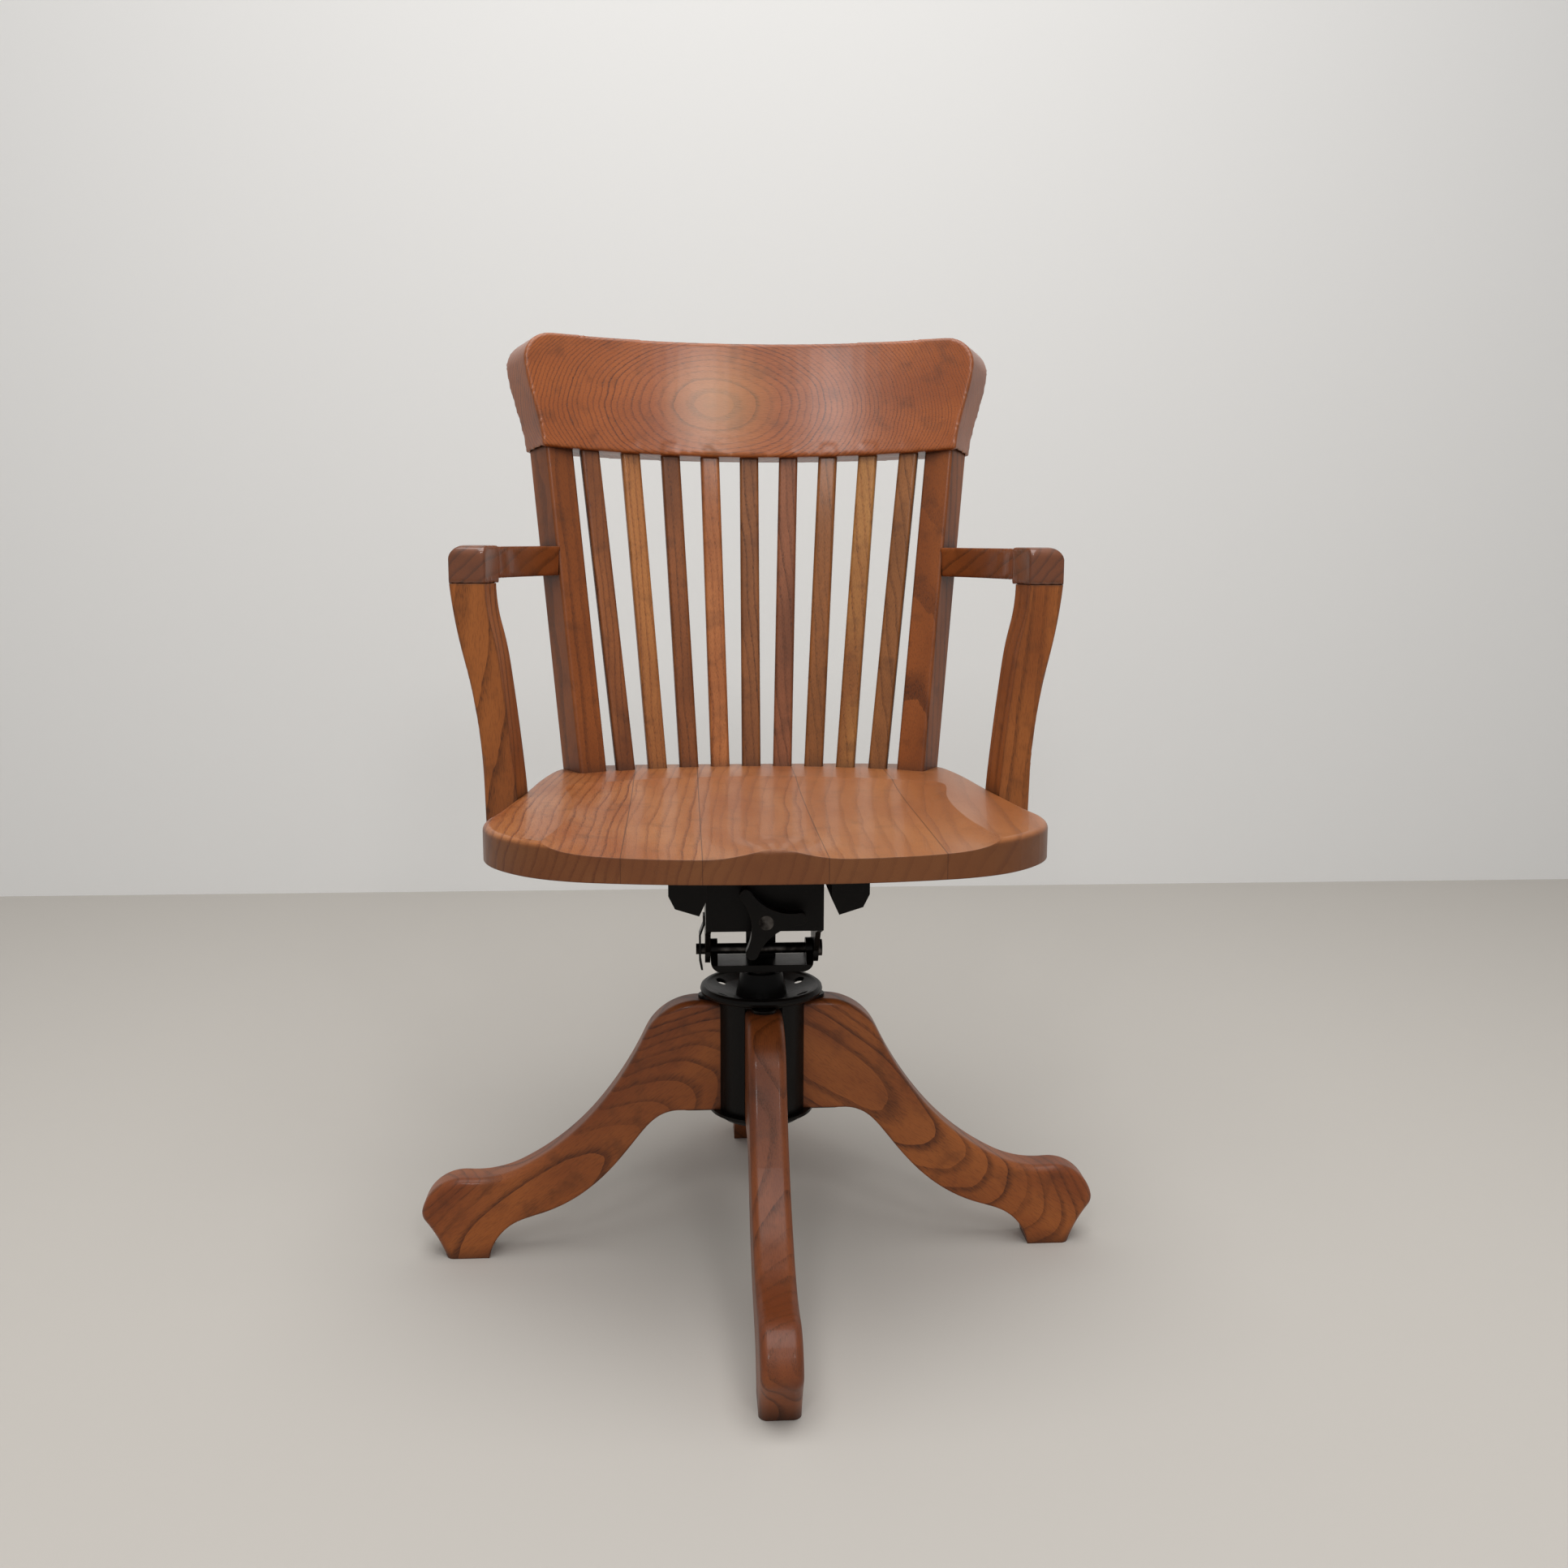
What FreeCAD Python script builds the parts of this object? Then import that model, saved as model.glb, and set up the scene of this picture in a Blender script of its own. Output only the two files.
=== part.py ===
"""Bankers swivel chair in oak, on four sawn legs and an iron screw-and-tilt mechanism.

Millimetres. +Z is up, the front of the chair faces -Y and +X is to the right of someone who looks at
its front. The origin lies on the floor, under the swivel axis. The seat is at its lowest, not tilted.
"""
import FreeCAD, Part
import math
import os
import re

from FreeCAD import Placement, Rotation, Vector

os.makedirs("parts", exist_ok=True)
doc = FreeCAD.newDocument("BankersChair")

# Name, millimetres (or degrees, or a count), what it is; what follows from other sizes is a formula
SIZES = [
    ("leg_thick", 36.5, "thickness of the plank that the legs are sawn from"),
    ("leg_reach", 345.5, "swivel axis to the tip of a toe"),
    ("leg_crown", 268, "height of the legs' top where they meet the hub"),
    ("leg_under", 154.5, "height of the legs' underside at the hub"),
    ("toe_top", 84.5, "height of the toe's top"),
    ("pad_outer", "=leg_reach - 23.5", "axis to the outer edge of the foot's flat"),
    ("pad_inner", "=leg_reach - 67", "axis to the inner edge of the foot's flat"),
    ("leg_round", 8, "rounding of the legs' upper edges"),
    ("hub_radius", 46, "outside of the hub casting"),
    ("hub_lip", 4, "thickness of the hub's lip round the recess"),
    ("hub_seat", 36, "axis to the bottom of a leg channel"),
    ("channel_fit", 0.2, "gap on each side of a leg in its channel"),
    ("ear_reach", 64, "axis to the tip of an ear on top of a leg"),
    ("ear_thick", 3, "thickness of the ears"),
    ("ear_width", 24, "width of an ear or a strap"),
    ("recess_radius", 34.5, "recess in the hub's top for the swivel flange"),
    ("recess_depth", 12, "depth of that recess under the legs' top"),
    ("bush_wall", 4, "wall of the bronze bush"),
    ("bush_length", 56, "length of the bronze bush"),
    ("strap_reach", 85, "axis to the tip of a strap under a leg"),
    ("plate_thick", 3, "thickness of the star plate under the legs"),
    ("bowl_radius", 53, "outside of the bowl pressed in the star plate"),
    ("bowl_depth", 14, "depth of the bowl under the legs"),
    ("washer_thick", 2.5, "thrust washer"),
    ("washer_radius", 33, "outside of the thrust washer"),
    ("flange_thick", 3.5, "flange of the swivel tube"),
    ("flange_radius", 32, "outside of that flange"),
    ("tube_wall", 6, "wall of the swivel tube"),
    ("flange_top", "=leg_crown - recess_depth + washer_thick + flange_thick", "height of the flange's top"),
    ("tube_bottom", "=flange_top - 92", "height of the swivel tube's lower end"),
    ("collar_height", 8, "collar that keeps the swivel tube in the hub"),
    ("collar_radius", 23.5, "outside of that collar"),
    ("running_fit", 0.06, "radial clearance of a shaft that turns or slides in its hole"),
    ("free_gap", 0.3, "gap between faces that pass each other"),
    ("spindle_radius", 14, "screwed spindle"),
    ("spindle_bottom", "=leg_under + 2", "height of the spindle's lower end"),
    ("keyway_width", 5, "width of the spindle's keyway"),
    ("keyway_depth", 2.8, "depth of the spindle's keyway"),
    ("wheel_height", 33, "height wheel, over its nut"),
    ("wheel_top", "=flange_top + wheel_height", "height of the nut's top"),
    ("keyway_top", "=wheel_top - 10", "height of the keyway's upper end"),
    ("key_bottom", "=tube_bottom + 66", "height of the lower end of the key in the swivel tube"),
    ("key_height", 16, "length of that key"),
    ("rim_radius", 57.5, "axis to the middle of the height wheel's rim"),
    ("rim_round", 4.5, "radius of the rolled rim's section"),
    ("rim_height", "=flange_top + 15.5", "height of the middle of the rim"),
    ("wheel_hub", 24, "outside of the height wheel's nut"),
    ("web_thick", 3, "web of the height wheel"),
    ("wheel_holes", 6, "holes in the web"),
    ("wheel_hole_radius", 5.5, "radius of a hole in the web"),
    ("wheel_hole_circle", 46, "axis to the middle of a hole in the web"),
    ("yoke_bottom", "=wheel_top + 4", "height of the yoke's underside"),
    ("yoke_depth", 44, "yoke from front to back"),
    ("yoke_thick", 7, "walls of the yoke"),
    ("axle_rise", 12, "tilt axle above the yoke's floor"),
    ("axle_height", "=yoke_bottom + yoke_thick + axle_rise", "height of the tilt axle"),
    ("axle_radius", 5.5, "tilt axle"),
    ("axle_proud", 9, "tilt axle beyond each side plate"),
    ("axle_head", 4, "thickness of the axle's head"),
    ("upright_width", 30, "upright that takes the spring"),
    ("upright_front", 10, "front face of the upright, behind the axle"),
    ("frame_width", 114, "tilting frame over its side plates"),
    ("frame_front", 66, "front face of the tilting frame, before the axle"),
    ("frame_rear", 30, "rear face of the tilting frame, behind the axle"),
    ("frame_wall", 5.25, "plates of the tilting frame"),
    ("cheek_gap", 0.25, "gap between a cheek of the yoke and a side plate"),
    ("yoke_width", "=frame_width - 2 * frame_wall - 2 * cheek_gap", "yoke over its cheeks"),
    ("screw_rise", 49, "tension screw above the tilt axle"),
    ("screw_height", "=axle_height + screw_rise", "height of the tension screw"),
    ("frame_front_low", "=screw_height - 14", "height of the front plate's lower edge"),
    ("screw_radius", 7, "tension screw"),
    ("screw_tail", 25, "tension screw behind the cup's face"),
    ("knob_boss", 6, "boss on the front plate, behind the knob"),
    ("knob_reach", 39, "middle of the knob to the tip of a lobe"),
    ("knob_thick", 12, "thickness of the knob"),
    ("spring_radius", 16.5, "axis of the spring to the middle of its wire"),
    ("spring_wire", 5, "thickness of the spring's wire"),
    ("spring_turns", 5, "turns of the spring"),
    ("pilot_length", 7, "pilots that hold the spring's ends"),
    ("cup_face", 45, "spring face of the cup, before the axle"),
    ("cup_thick", 5, "flange of the spring cup"),
    ("stop_height", 26, "rubber stop behind the upright"),
    ("seat_rise", 71.5, "seat's underside above the tension screw"),
    ("seat_under", "=screw_height + seat_rise", "height of the seat's underside"),
    ("bearer_length", 280, "length of the two bearers under the seat"),
    ("bearer_width", 35, "width of a bearer"),
    ("bearer_depth", 51.5, "depth of a bearer"),
    ("bearer_wall", 3.5, "sheet of the bearers"),
    ("bearer_lip", 14, "lip of a bearer"),
    ("seat_thick", 32, "thickness of the seat at its raised border"),
    ("seat_front", 238, "swivel axis to the middle of the front edge"),
    ("seat_rear", 247, "swivel axis to the middle of the rear edge"),
    ("seat_half", 260, "half the greatest width of the seat"),
    ("seat_round", 6, "rounding of the seat's upper edge"),
    ("saddle_depth", 11, "depth of the hollow worked into the seat"),
    ("saddle_half", "=seat_half - 74", "half the width of that hollow, where it is narrowest"),
    ("saddle_rear", "=seat_rear - 97", "swivel axis to the hollow's rear edge"),
    ("post_wide", 33, "back post, across its front face"),
    ("post_deep", 44, "back post, from front to back"),
    ("post_turn", 32, "degrees that the back posts are turned to face inward"),
    ("post_foot_x", 190, "front corner of a back post at the seat, from the middle"),
    ("post_foot_y", "=seat_rear - 71", "the same corner, behind the swivel axis"),
    ("post_head_x", 226, "front corner of a back post at the crest rail, from the middle"),
    ("back_rise", 358, "height of the crest rail's ends above the seat"),
    ("back_rake", 10, "degrees that the back leans"),
    ("back_middle_y", "=seat_rear - 22", "front of the middle slat at the seat, behind the swivel axis"),
    ("slat_count", 9, "slats"),
    ("slat_wide", 21.5, "width of a slat"),
    ("slat_thick", 10.5, "thickness of a slat"),
    ("slat_pitch_low", 35.2, "spacing of the slats at the seat"),
    ("slat_pitch_high", 44.8, "spacing of the slats at the crest rail"),
    ("housing", 14, "depth to which posts and slats are let into seat and crest rail"),
    ("crest_height", 130, "height of the crest rail in its middle"),
    ("crest_crown", 4, "how much lower its top is at the ends"),
    ("crest_low", 9, "how much lower it starts in the middle than at the ends"),
    ("crest_middle", 30, "thickness of the crest rail in its middle"),
    ("crest_end", 47.5, "thickness of the crest rail at its ends"),
    ("crest_half", 228.5, "middle of the crest rail to the front corner of its end, at the bottom"),
    ("crest_flare", 25, "how much wider the crest rail is towards its top, each side"),
    ("ear_round", 32, "rounding of the crest rail's upper corners"),
    ("arm_thick", 36.5, "arm posts from front to back"),
    ("arm_x", "=seat_half - 3", "middle of an arm post's foot, from the middle of the chair"),
    ("arm_y", 40, "middle of the arm posts, behind the swivel axis"),
    ("arm_turn", 11, "degrees that the arm posts are turned to face inward"),
    ("arm_rise", 211.5, "joint between arm post and arm rail, above the seat"),
    ("arm_joint", "=seat_under + seat_thick + arm_rise", "height of that joint"),
    ("rail_low", "=arm_joint + 4", "height of the arm rails' underside"),
    ("rail_thick", 32, "height of the arm rails' section"),
    ("rail_top", "=rail_low + rail_thick", "height of the arm rails' top"),
    ("knuckle_top", "=rail_top + 1.5", "height of the knuckles' top"),
    ("knuckle_round", 10, "rounding of the knuckles' nose"),
    ("edge_round", 3.5, "rounding of posts, slats and rails"),
    ("screw_shank", 2.3, "wood screw shank radius"),
    ("screw_head", 4.6, "wood screw head radius"),
    ("screw_length", 24, "wood screw length"),
    ("short_screw", 16, "length of the wood screws under the seat"),
]

sheet = doc.addObject("Spreadsheet::Sheet", "Sizes")
for row, (alias, number, meaning) in enumerate(SIZES, start=1):
    sheet.set(f"A{row}", meaning)
    sheet.set(f"B{row}", str(number))
    sheet.setAlias(f"B{row}", alias)
doc.recompute()


class Values:
    """Reads the sheet: v.leg_thick is the number in the cell of that name."""

    def __getattr__(self, alias):
        return float(sheet.get(alias))


v = Values()
PLACES = {axis: f"Placement.Base.{axis}" for axis in "xyz"}
BOW = 1 - math.sqrt(0.5)  # how far the middle of a quarter arc lies from each of its end tangents, in radii


def bind(thing, **formulas):
    """Ties properties to formulas of the sheet's names; x, y and z stand for the place."""
    for name, formula in formulas.items():
        thing.setExpression(PLACES.get(name, name), re.sub(r"[a-z]\w*", r"Sizes.\g<0>", formula))
    return thing


# Drawing sketches

def tangent_arc(start, heading, end):
    """An arc that leaves start along the heading, and the heading in which it reaches its end."""
    chord = end - start
    side = (chord - heading * chord.dot(heading)).normalize()
    radius = chord.Length ** 2 / (2 * chord.dot(side))
    centre = start + side * radius
    middle = (start + end) * 0.5 - centre
    through = centre + middle * (radius / middle.Length)
    arrival = chord * (2 * chord.dot(heading) / chord.Length ** 2) - heading
    return Part.Arc(start, through, end), arrival


def two_arcs(start, leaving, end, arriving):
    """A pair of tangent arcs from one place and heading to another."""
    across, both = end - start, leaving + arriving
    a, b, c = 2 * (1 - leaving.dot(arriving)), 2 * across.dot(both), across.Length ** 2
    reach = 2 * c / (b + math.sqrt(b * b + 4 * a * c))
    joint = (start + leaving * reach + end - arriving * reach) * 0.5
    first, heading = tangent_arc(start, leaving, joint)
    second, heading = tangent_arc(joint, heading, end)
    return [first, second]


class Outline:
    """A closed outline, drawn edge by edge in a sketch's own x and y."""

    def __init__(self, x, y):
        self.start = self.here = Vector(x, y, 0)
        self.edges = []

    def line(self, x, y):
        end = Vector(x, y, 0)
        self.edges.append(Part.LineSegment(self.here, end))
        self.heading = (end - self.here).normalize()
        self.here = end
        return self

    def bend(self, x, y):
        """An arc that carries on in the present heading."""
        end = Vector(x, y, 0)
        arc, self.heading = tangent_arc(self.here, self.heading, end)
        self.edges.append(arc)
        self.here = end
        return self

    def head(self, x, y):
        self.heading = Vector(x, y, 0).normalize()
        return self

    def arc(self, through, end):
        through, end = Vector(*through, 0), Vector(*end, 0)
        self.edges.append(Part.Arc(self.here, through, end))
        self.here = end
        return self

    def flow(self, *points, arrival):
        """Tangent arcs through the points; at each, the heading is that from the point before to the next."""
        spots = [self.here] + [Vector(x, y, 0) for x, y in points]
        headings = [self.heading] + [(after - before).normalize() for before, after in zip(spots, spots[2:])]
        headings.append(Vector(*arrival, 0))
        for k in range(len(points)):
            self.edges += two_arcs(spots[k], headings[k], spots[k + 1], headings[k + 1])
        self.here, self.heading = spots[-1], headings[-1]
        return self

    def curve(self, *points):
        points = [self.here] + [Vector(x, y, 0) for x, y in points]
        spline = Part.BSplineCurve()
        spline.interpolate(points)
        self.edges.append(spline)
        self.here = points[-1]
        return self

    def close(self):
        self.line(self.start.x, self.start.y)
        return self.edges

    def mirror(self):
        """The outline on the other side of the sketch's y axis."""
        flip = FreeCAD.Matrix()
        flip.A11 = -1
        for edge in self.edges:
            edge.transform(flip)
        return self.edges


def polygon(*points):
    outline = Outline(*points[0])
    for point in points[1:]:
        outline.line(*point)
    return outline.close()


def rectangle(x0, y0, x1, y1):
    return polygon((x0, y0), (x1, y0), (x1, y1), (x0, y1))


def circle(radius, x=0, y=0):
    return [Part.Circle(Vector(x, y, 0), Vector(0, 0, 1), radius)]


def round_ended(x0, x1, width, angle=0):
    """A strap along x from x0, with a half-round end at x1, turned about the origin."""
    half = width / 2
    spin = Placement(Vector(), Rotation(Vector(0, 0, 1), angle)).toMatrix()
    outline = Outline(x0, -half).line(x1 - half, -half).arc((x1, 0), (x1 - half, half)).line(x0, half)
    edges = outline.close()
    for edge in edges:
        edge.transform(spin)
    return edges


# Building bodies

def new_body(name):
    body = doc.addObject("PartDesign::Body", name)
    body.Label = name
    return body


def sketch(body, plane, edges, height=None, turn=0):
    """A sketch on one of the body's own planes, at a height given as a formula."""
    sk = body.newObject("Sketcher::SketchObject", "Sketch")
    origin_plane = next(f for f in body.Origin.OriginFeatures if f.Role == plane)
    sk.AttachmentSupport = [(origin_plane, "")]
    sk.MapMode = "FlatFace"
    if turn:
        sk.AttachmentOffset = Placement(Vector(), Rotation(Vector(0, 1, 0), turn))
    if height:
        bind(sk, **{"AttachmentOffset.Base.z": height})
    sk.addGeometry(edges, False)
    return sk


def feature(body, kind, profile, length=None, symmetric=False, backwards=False):
    """Pad or Pocket of a sketch; the length is a formula, or None to go through all."""
    step = body.newObject("PartDesign::" + kind, kind)
    step.Profile = profile
    if symmetric:
        step.SideType = "Symmetric"
    step.Reversed = backwards
    if length is None:
        step.Type = "ThroughAll"
    else:
        bind(step, Length=length)
    profile.Visibility = False
    return step


def revolve(body, edges, kind="Revolution"):
    """Turns a section drawn in the XZ plane round the Z axis."""
    section = sketch(body, "XZ_Plane", edges)
    step = body.newObject("PartDesign::" + kind, kind)
    step.Profile = section
    step.ReferenceAxis = (section, ["V_Axis"])
    return step


def ring(name, outer, inner, bottom, height):
    """A plain ring round the swivel axis, all four sizes as formulas."""
    rings = []
    for radius in (outer, inner):
        rings.append(doc.addObject("Part::Cylinder", name + "_blank"))
        bind(rings[-1], Radius=radius, Height=height, z=bottom)
    return cut(name, rings[0], rings[1])


def cut(name, base, *tools):
    """The base with the tools taken away, under the node's name."""
    tool = tools[0]
    if len(tools) > 1:
        tool = doc.addObject("Part::Compound", name + "_tools")
        tool.Links = list(tools)
    result = doc.addObject("Part::Cut", name + "_cut")
    result.Base, result.Tool = base, tool
    result.Label = name
    return result


def group(name, members):
    result = doc.addObject("Part::Compound", name)
    result.Links = members
    result.Label = name
    return result


def round_edges(body, radius, chosen):
    """Fillets the edges of the body's last shape that the test chooses."""
    doc.recompute()
    base = body.Tip
    names = [f"Edge{i}" for i, edge in enumerate(base.Shape.Edges, start=1) if chosen(edge)]
    fillet = body.newObject("PartDesign::Fillet", "Fillet")
    fillet.Base = (base, names)
    bind(fillet, Radius=radius)
    return fillet


def place(thing, position, rotation=None):
    thing.Placement = Placement(position, rotation or Rotation())
    return thing


def wood_screw(name, position, direction, length="screw_length"):
    """A countersunk wood screw with its head's face at position, driven along direction."""
    head = doc.addObject("Part::Cone", name + "_head")
    bind(head, Radius1="screw_head", Radius2="screw_shank", Height="screw_head - screw_shank")
    shank = doc.addObject("Part::Cylinder", name + "_shank")
    bind(shank, Radius="screw_shank", Height=length)
    screw = doc.addObject("Part::Fuse", name)
    screw.Base, screw.Tool = head, shank
    return place(screw, position, Rotation(Vector(0, 0, 1), direction))


parts = {}

# The base: four legs let into the hub casting

QUARTERS = {"leg_right": 0, "leg_rear": 90, "leg_left": 180, "leg_front": 270}


def around(radius, angle, height):
    turn = math.radians(angle)
    return Vector(radius * math.cos(turn), radius * math.sin(turn), height)


def leg_outline():
    """Side of a leg: x is the distance from the swivel axis, y the height."""
    reach, crown, under, toe = v.leg_reach, v.leg_crown, v.leg_under, v.toe_top
    span = reach - v.ear_reach

    def at(along, share, low, high):
        return v.ear_reach + along * span, low + share * (high - low)

    outline = Outline(v.hub_seat, crown).line(v.ear_reach, crown)
    outline.bend(*at(0.192, 0.812, toe, crown)).bend(*at(0.369, 0.387, toe, crown))
    outline.bend(*at(0.643, 0.057, toe, crown)).bend(*at(0.838, 0, toe, crown)).bend(reach, 0.61 * toe)
    outline.bend(reach - 2.5, 0.47 * toe).bend(v.pad_outer, 0)
    outline.line(v.pad_inner, 0)
    outline.curve((v.pad_inner - 5, 0.10 * under), at(0.680, 0.230, 0, under), at(0.563, 0.311, 0, under),
                  at(0.437, 0.422, 0, under), at(0.322, 0.600, 0, under), at(0.220, 0.825, 0, under),
                  at(0.153, 0.953, 0, under), at(0.078, 1.0, 0, under))
    outline.line(v.hub_seat, under)
    return outline.close()


def make_leg(name, angle, screws):
    blank = new_body(name + "_blank")
    feature(blank, "Pad", sketch(blank, "XZ_Plane", leg_outline()), "leg_thick", symmetric=True)
    half = v.leg_thick / 2

    def upper_arris(edge):
        box = edge.BoundBox
        on_side = box.YLength < 0.01 and abs(abs(box.YMax) - half) < 0.01
        upper = box.XMax > v.pad_outer + 1 or box.ZMax > v.leg_under + 5
        return on_side and upper and box.XLength > 1

    round_edges(blank, "leg_round", upper_arris)
    place(blank, Vector(), Rotation(Vector(0, 0, 1), angle))
    parts[name] = cut(name, blank, *screws)


ear_screws, strap_screws = [], []
for name, angle in QUARTERS.items():
    top = wood_screw("ear_screw", around(v.ear_reach - v.ear_width / 2, angle, v.leg_crown + v.ear_thick),
                     Vector(0, 0, -1))
    low = wood_screw("strap_screw", around(v.strap_reach - v.ear_width / 2, angle, v.leg_under - v.plate_thick),
                     Vector(0, 0, 1))
    ear_screws.append(top)
    strap_screws.append(low)
    make_leg(name, angle, (top, low))
parts["ear_screws"] = group("ear_screws", ear_screws)
parts["strap_screws"] = group("strap_screws", strap_screws)


def make_hub():
    """Iron casting: a drum with four upright channels, an ear over each leg and a recess on top."""
    body = new_body("hub_body_casting")
    bore = v.spindle_radius + v.running_fit + v.tube_wall + v.running_fit + v.bush_wall
    floor, lip = v.leg_crown - v.recess_depth, v.hub_radius - v.hub_lip
    revolve(body, polygon(
        (bore, v.leg_under), (v.hub_radius, v.leg_under), (v.hub_radius, v.leg_crown + v.ear_thick),
        (lip, v.leg_crown + v.ear_thick), (lip, v.leg_crown), (v.recess_radius, v.leg_crown),
        (v.recess_radius, floor), (bore, floor)))
    half, inner, outer = v.leg_thick / 2 + v.channel_fit, v.hub_seat, v.ear_reach
    channels = rectangle(inner, -half, outer, half) + rectangle(-outer, -half, -inner, half)
    channels += rectangle(-half, inner, half, outer) + rectangle(-half, -outer, half, -inner)
    feature(body, "Pocket", sketch(body, "XY_Plane", channels, "(leg_under + leg_crown) / 2"),
            "leg_crown - leg_under", symmetric=True)
    ears = []
    for angle in QUARTERS.values():
        ears += round_ended(lip + 1, v.ear_reach, v.ear_width, angle)
    feature(body, "Pad", sketch(body, "XY_Plane", ears, "leg_crown"), "ear_thick")
    parts["hub_body"] = cut("hub_body", body, parts["ear_screws"])


def make_star_plate():
    """Pressed plate under the legs: four straps and a shallow bowl."""
    body = new_body("star_plate_pressing")
    top, gauge, bottom, rim = v.leg_under, v.plate_thick, v.leg_under - v.bowl_depth, v.bowl_radius
    flat, knee = 0.5 * rim, 0.8 * rim
    knee_low = bottom + 0.28 * v.bowl_depth
    revolve(body, polygon(
        (0, bottom), (flat, bottom), (knee, knee_low), (rim - 1.7 * gauge, top - gauge), (rim, top - gauge),
        (rim, top), (rim - 2.5 * gauge, top), (knee - gauge, knee_low + 0.8 * gauge), (flat, bottom + gauge),
        (0, bottom + gauge)))
    straps = []
    for angle in QUARTERS.values():
        straps += round_ended(rim - gauge, v.strap_reach, v.ear_width, angle)
    feature(body, "Pad", sketch(body, "XY_Plane", straps, "leg_under - plate_thick"), "plate_thick")
    parts["star_plate"] = cut("star_plate", body, parts["strap_screws"])


make_hub()
make_star_plate()
parts["hub_bush"] = ring(
    "hub_bush", "spindle_radius + 2 * running_fit + tube_wall + bush_wall",
    "spindle_radius + 2 * running_fit + tube_wall",
    "leg_crown - recess_depth - bush_length", "bush_length")
parts["thrust_washer"] = ring(
    "thrust_washer", "washer_radius", "spindle_radius + 2 * running_fit + tube_wall",
    "leg_crown - recess_depth", "washer_thick")

# The swivel tube turns in the hub and carries the key that stops the spindle from turning in it


def make_swivel_tube():
    body = new_body("swivel_tube")
    bore = v.spindle_radius + v.running_fit
    outside = bore + v.tube_wall
    top, under_flange = v.flange_top, v.flange_top - v.flange_thick
    revolve(body, polygon(
        (bore, v.tube_bottom), (outside, v.tube_bottom), (outside, under_flange),
        (v.flange_radius, under_flange), (v.flange_radius, top), (bore, top)))
    half = v.keyway_width / 2 - v.running_fit
    key = rectangle(-half, -bore - 1, half, v.keyway_depth - v.spindle_radius - v.running_fit)
    feature(body, "Pad", sketch(body, "XY_Plane", key, "key_bottom"), "key_height")
    parts["swivel_tube"] = body


make_swivel_tube()
parts["tube_collar"] = ring(
    "tube_collar", "collar_radius", "spindle_radius + running_fit + tube_wall",
    "leg_crown - recess_depth - bush_length - free_gap - collar_height", "collar_height")


def make_height_wheel():
    """Pierced and dished wheel with a rolled rim, screwed on the spindle as its nut."""
    body = new_body("height_wheel")
    bore, nut, web = v.spindle_radius + v.running_fit, v.wheel_hub, v.web_thick
    top, bottom = v.wheel_top, v.flange_top
    root = bottom + 1.5 * web
    knee_x, knee_z = v.hub_radius - v.hub_lip, v.leg_crown + v.ear_thick + 4 * v.free_gap
    rim = []
    for angle in range(-150, 151, 37):
        spot = around(v.rim_radius, 0, v.rim_height) + around(v.rim_round, angle, 0)
        rim.append((spot.x, v.rim_height + v.rim_round * math.sin(math.radians(angle))))
    revolve(body, polygon(
        (bore, bottom), (nut, bottom), (nut, root), (knee_x, knee_z), *rim,
        (knee_x, knee_z + web), (nut + 2, root + 1.3 * web), (nut - 3, top), (bore, top)))
    holes = []
    for k in range(round(v.wheel_holes)):
        spot = around(v.wheel_hole_circle, (k + 0.5) * 360 / v.wheel_holes, 0)
        holes += circle(v.wheel_hole_radius, spot.x, spot.y)
    feature(body, "Pocket", sketch(body, "XY_Plane", holes, "rim_height"), "4 * rim_round", symmetric=True)
    parts["height_wheel"] = body


make_height_wheel()

# The spindle rises with the yoke, the tilt axle and everything above


def make_spindle():
    body = new_body("spindle_screw")
    rod = sketch(body, "XY_Plane", circle(v.spindle_radius), "spindle_bottom")
    feature(body, "Pad", rod, "yoke_bottom + yoke_thick - spindle_bottom")
    half = v.keyway_width / 2
    keyway = rectangle(-half, -v.spindle_radius - 2, half, v.keyway_depth - v.spindle_radius)
    feature(body, "Pocket", sketch(body, "XY_Plane", keyway, "spindle_bottom"),
            "2 * (keyway_top - spindle_bottom)", symmetric=True)
    parts["spindle_screw"] = body


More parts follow.
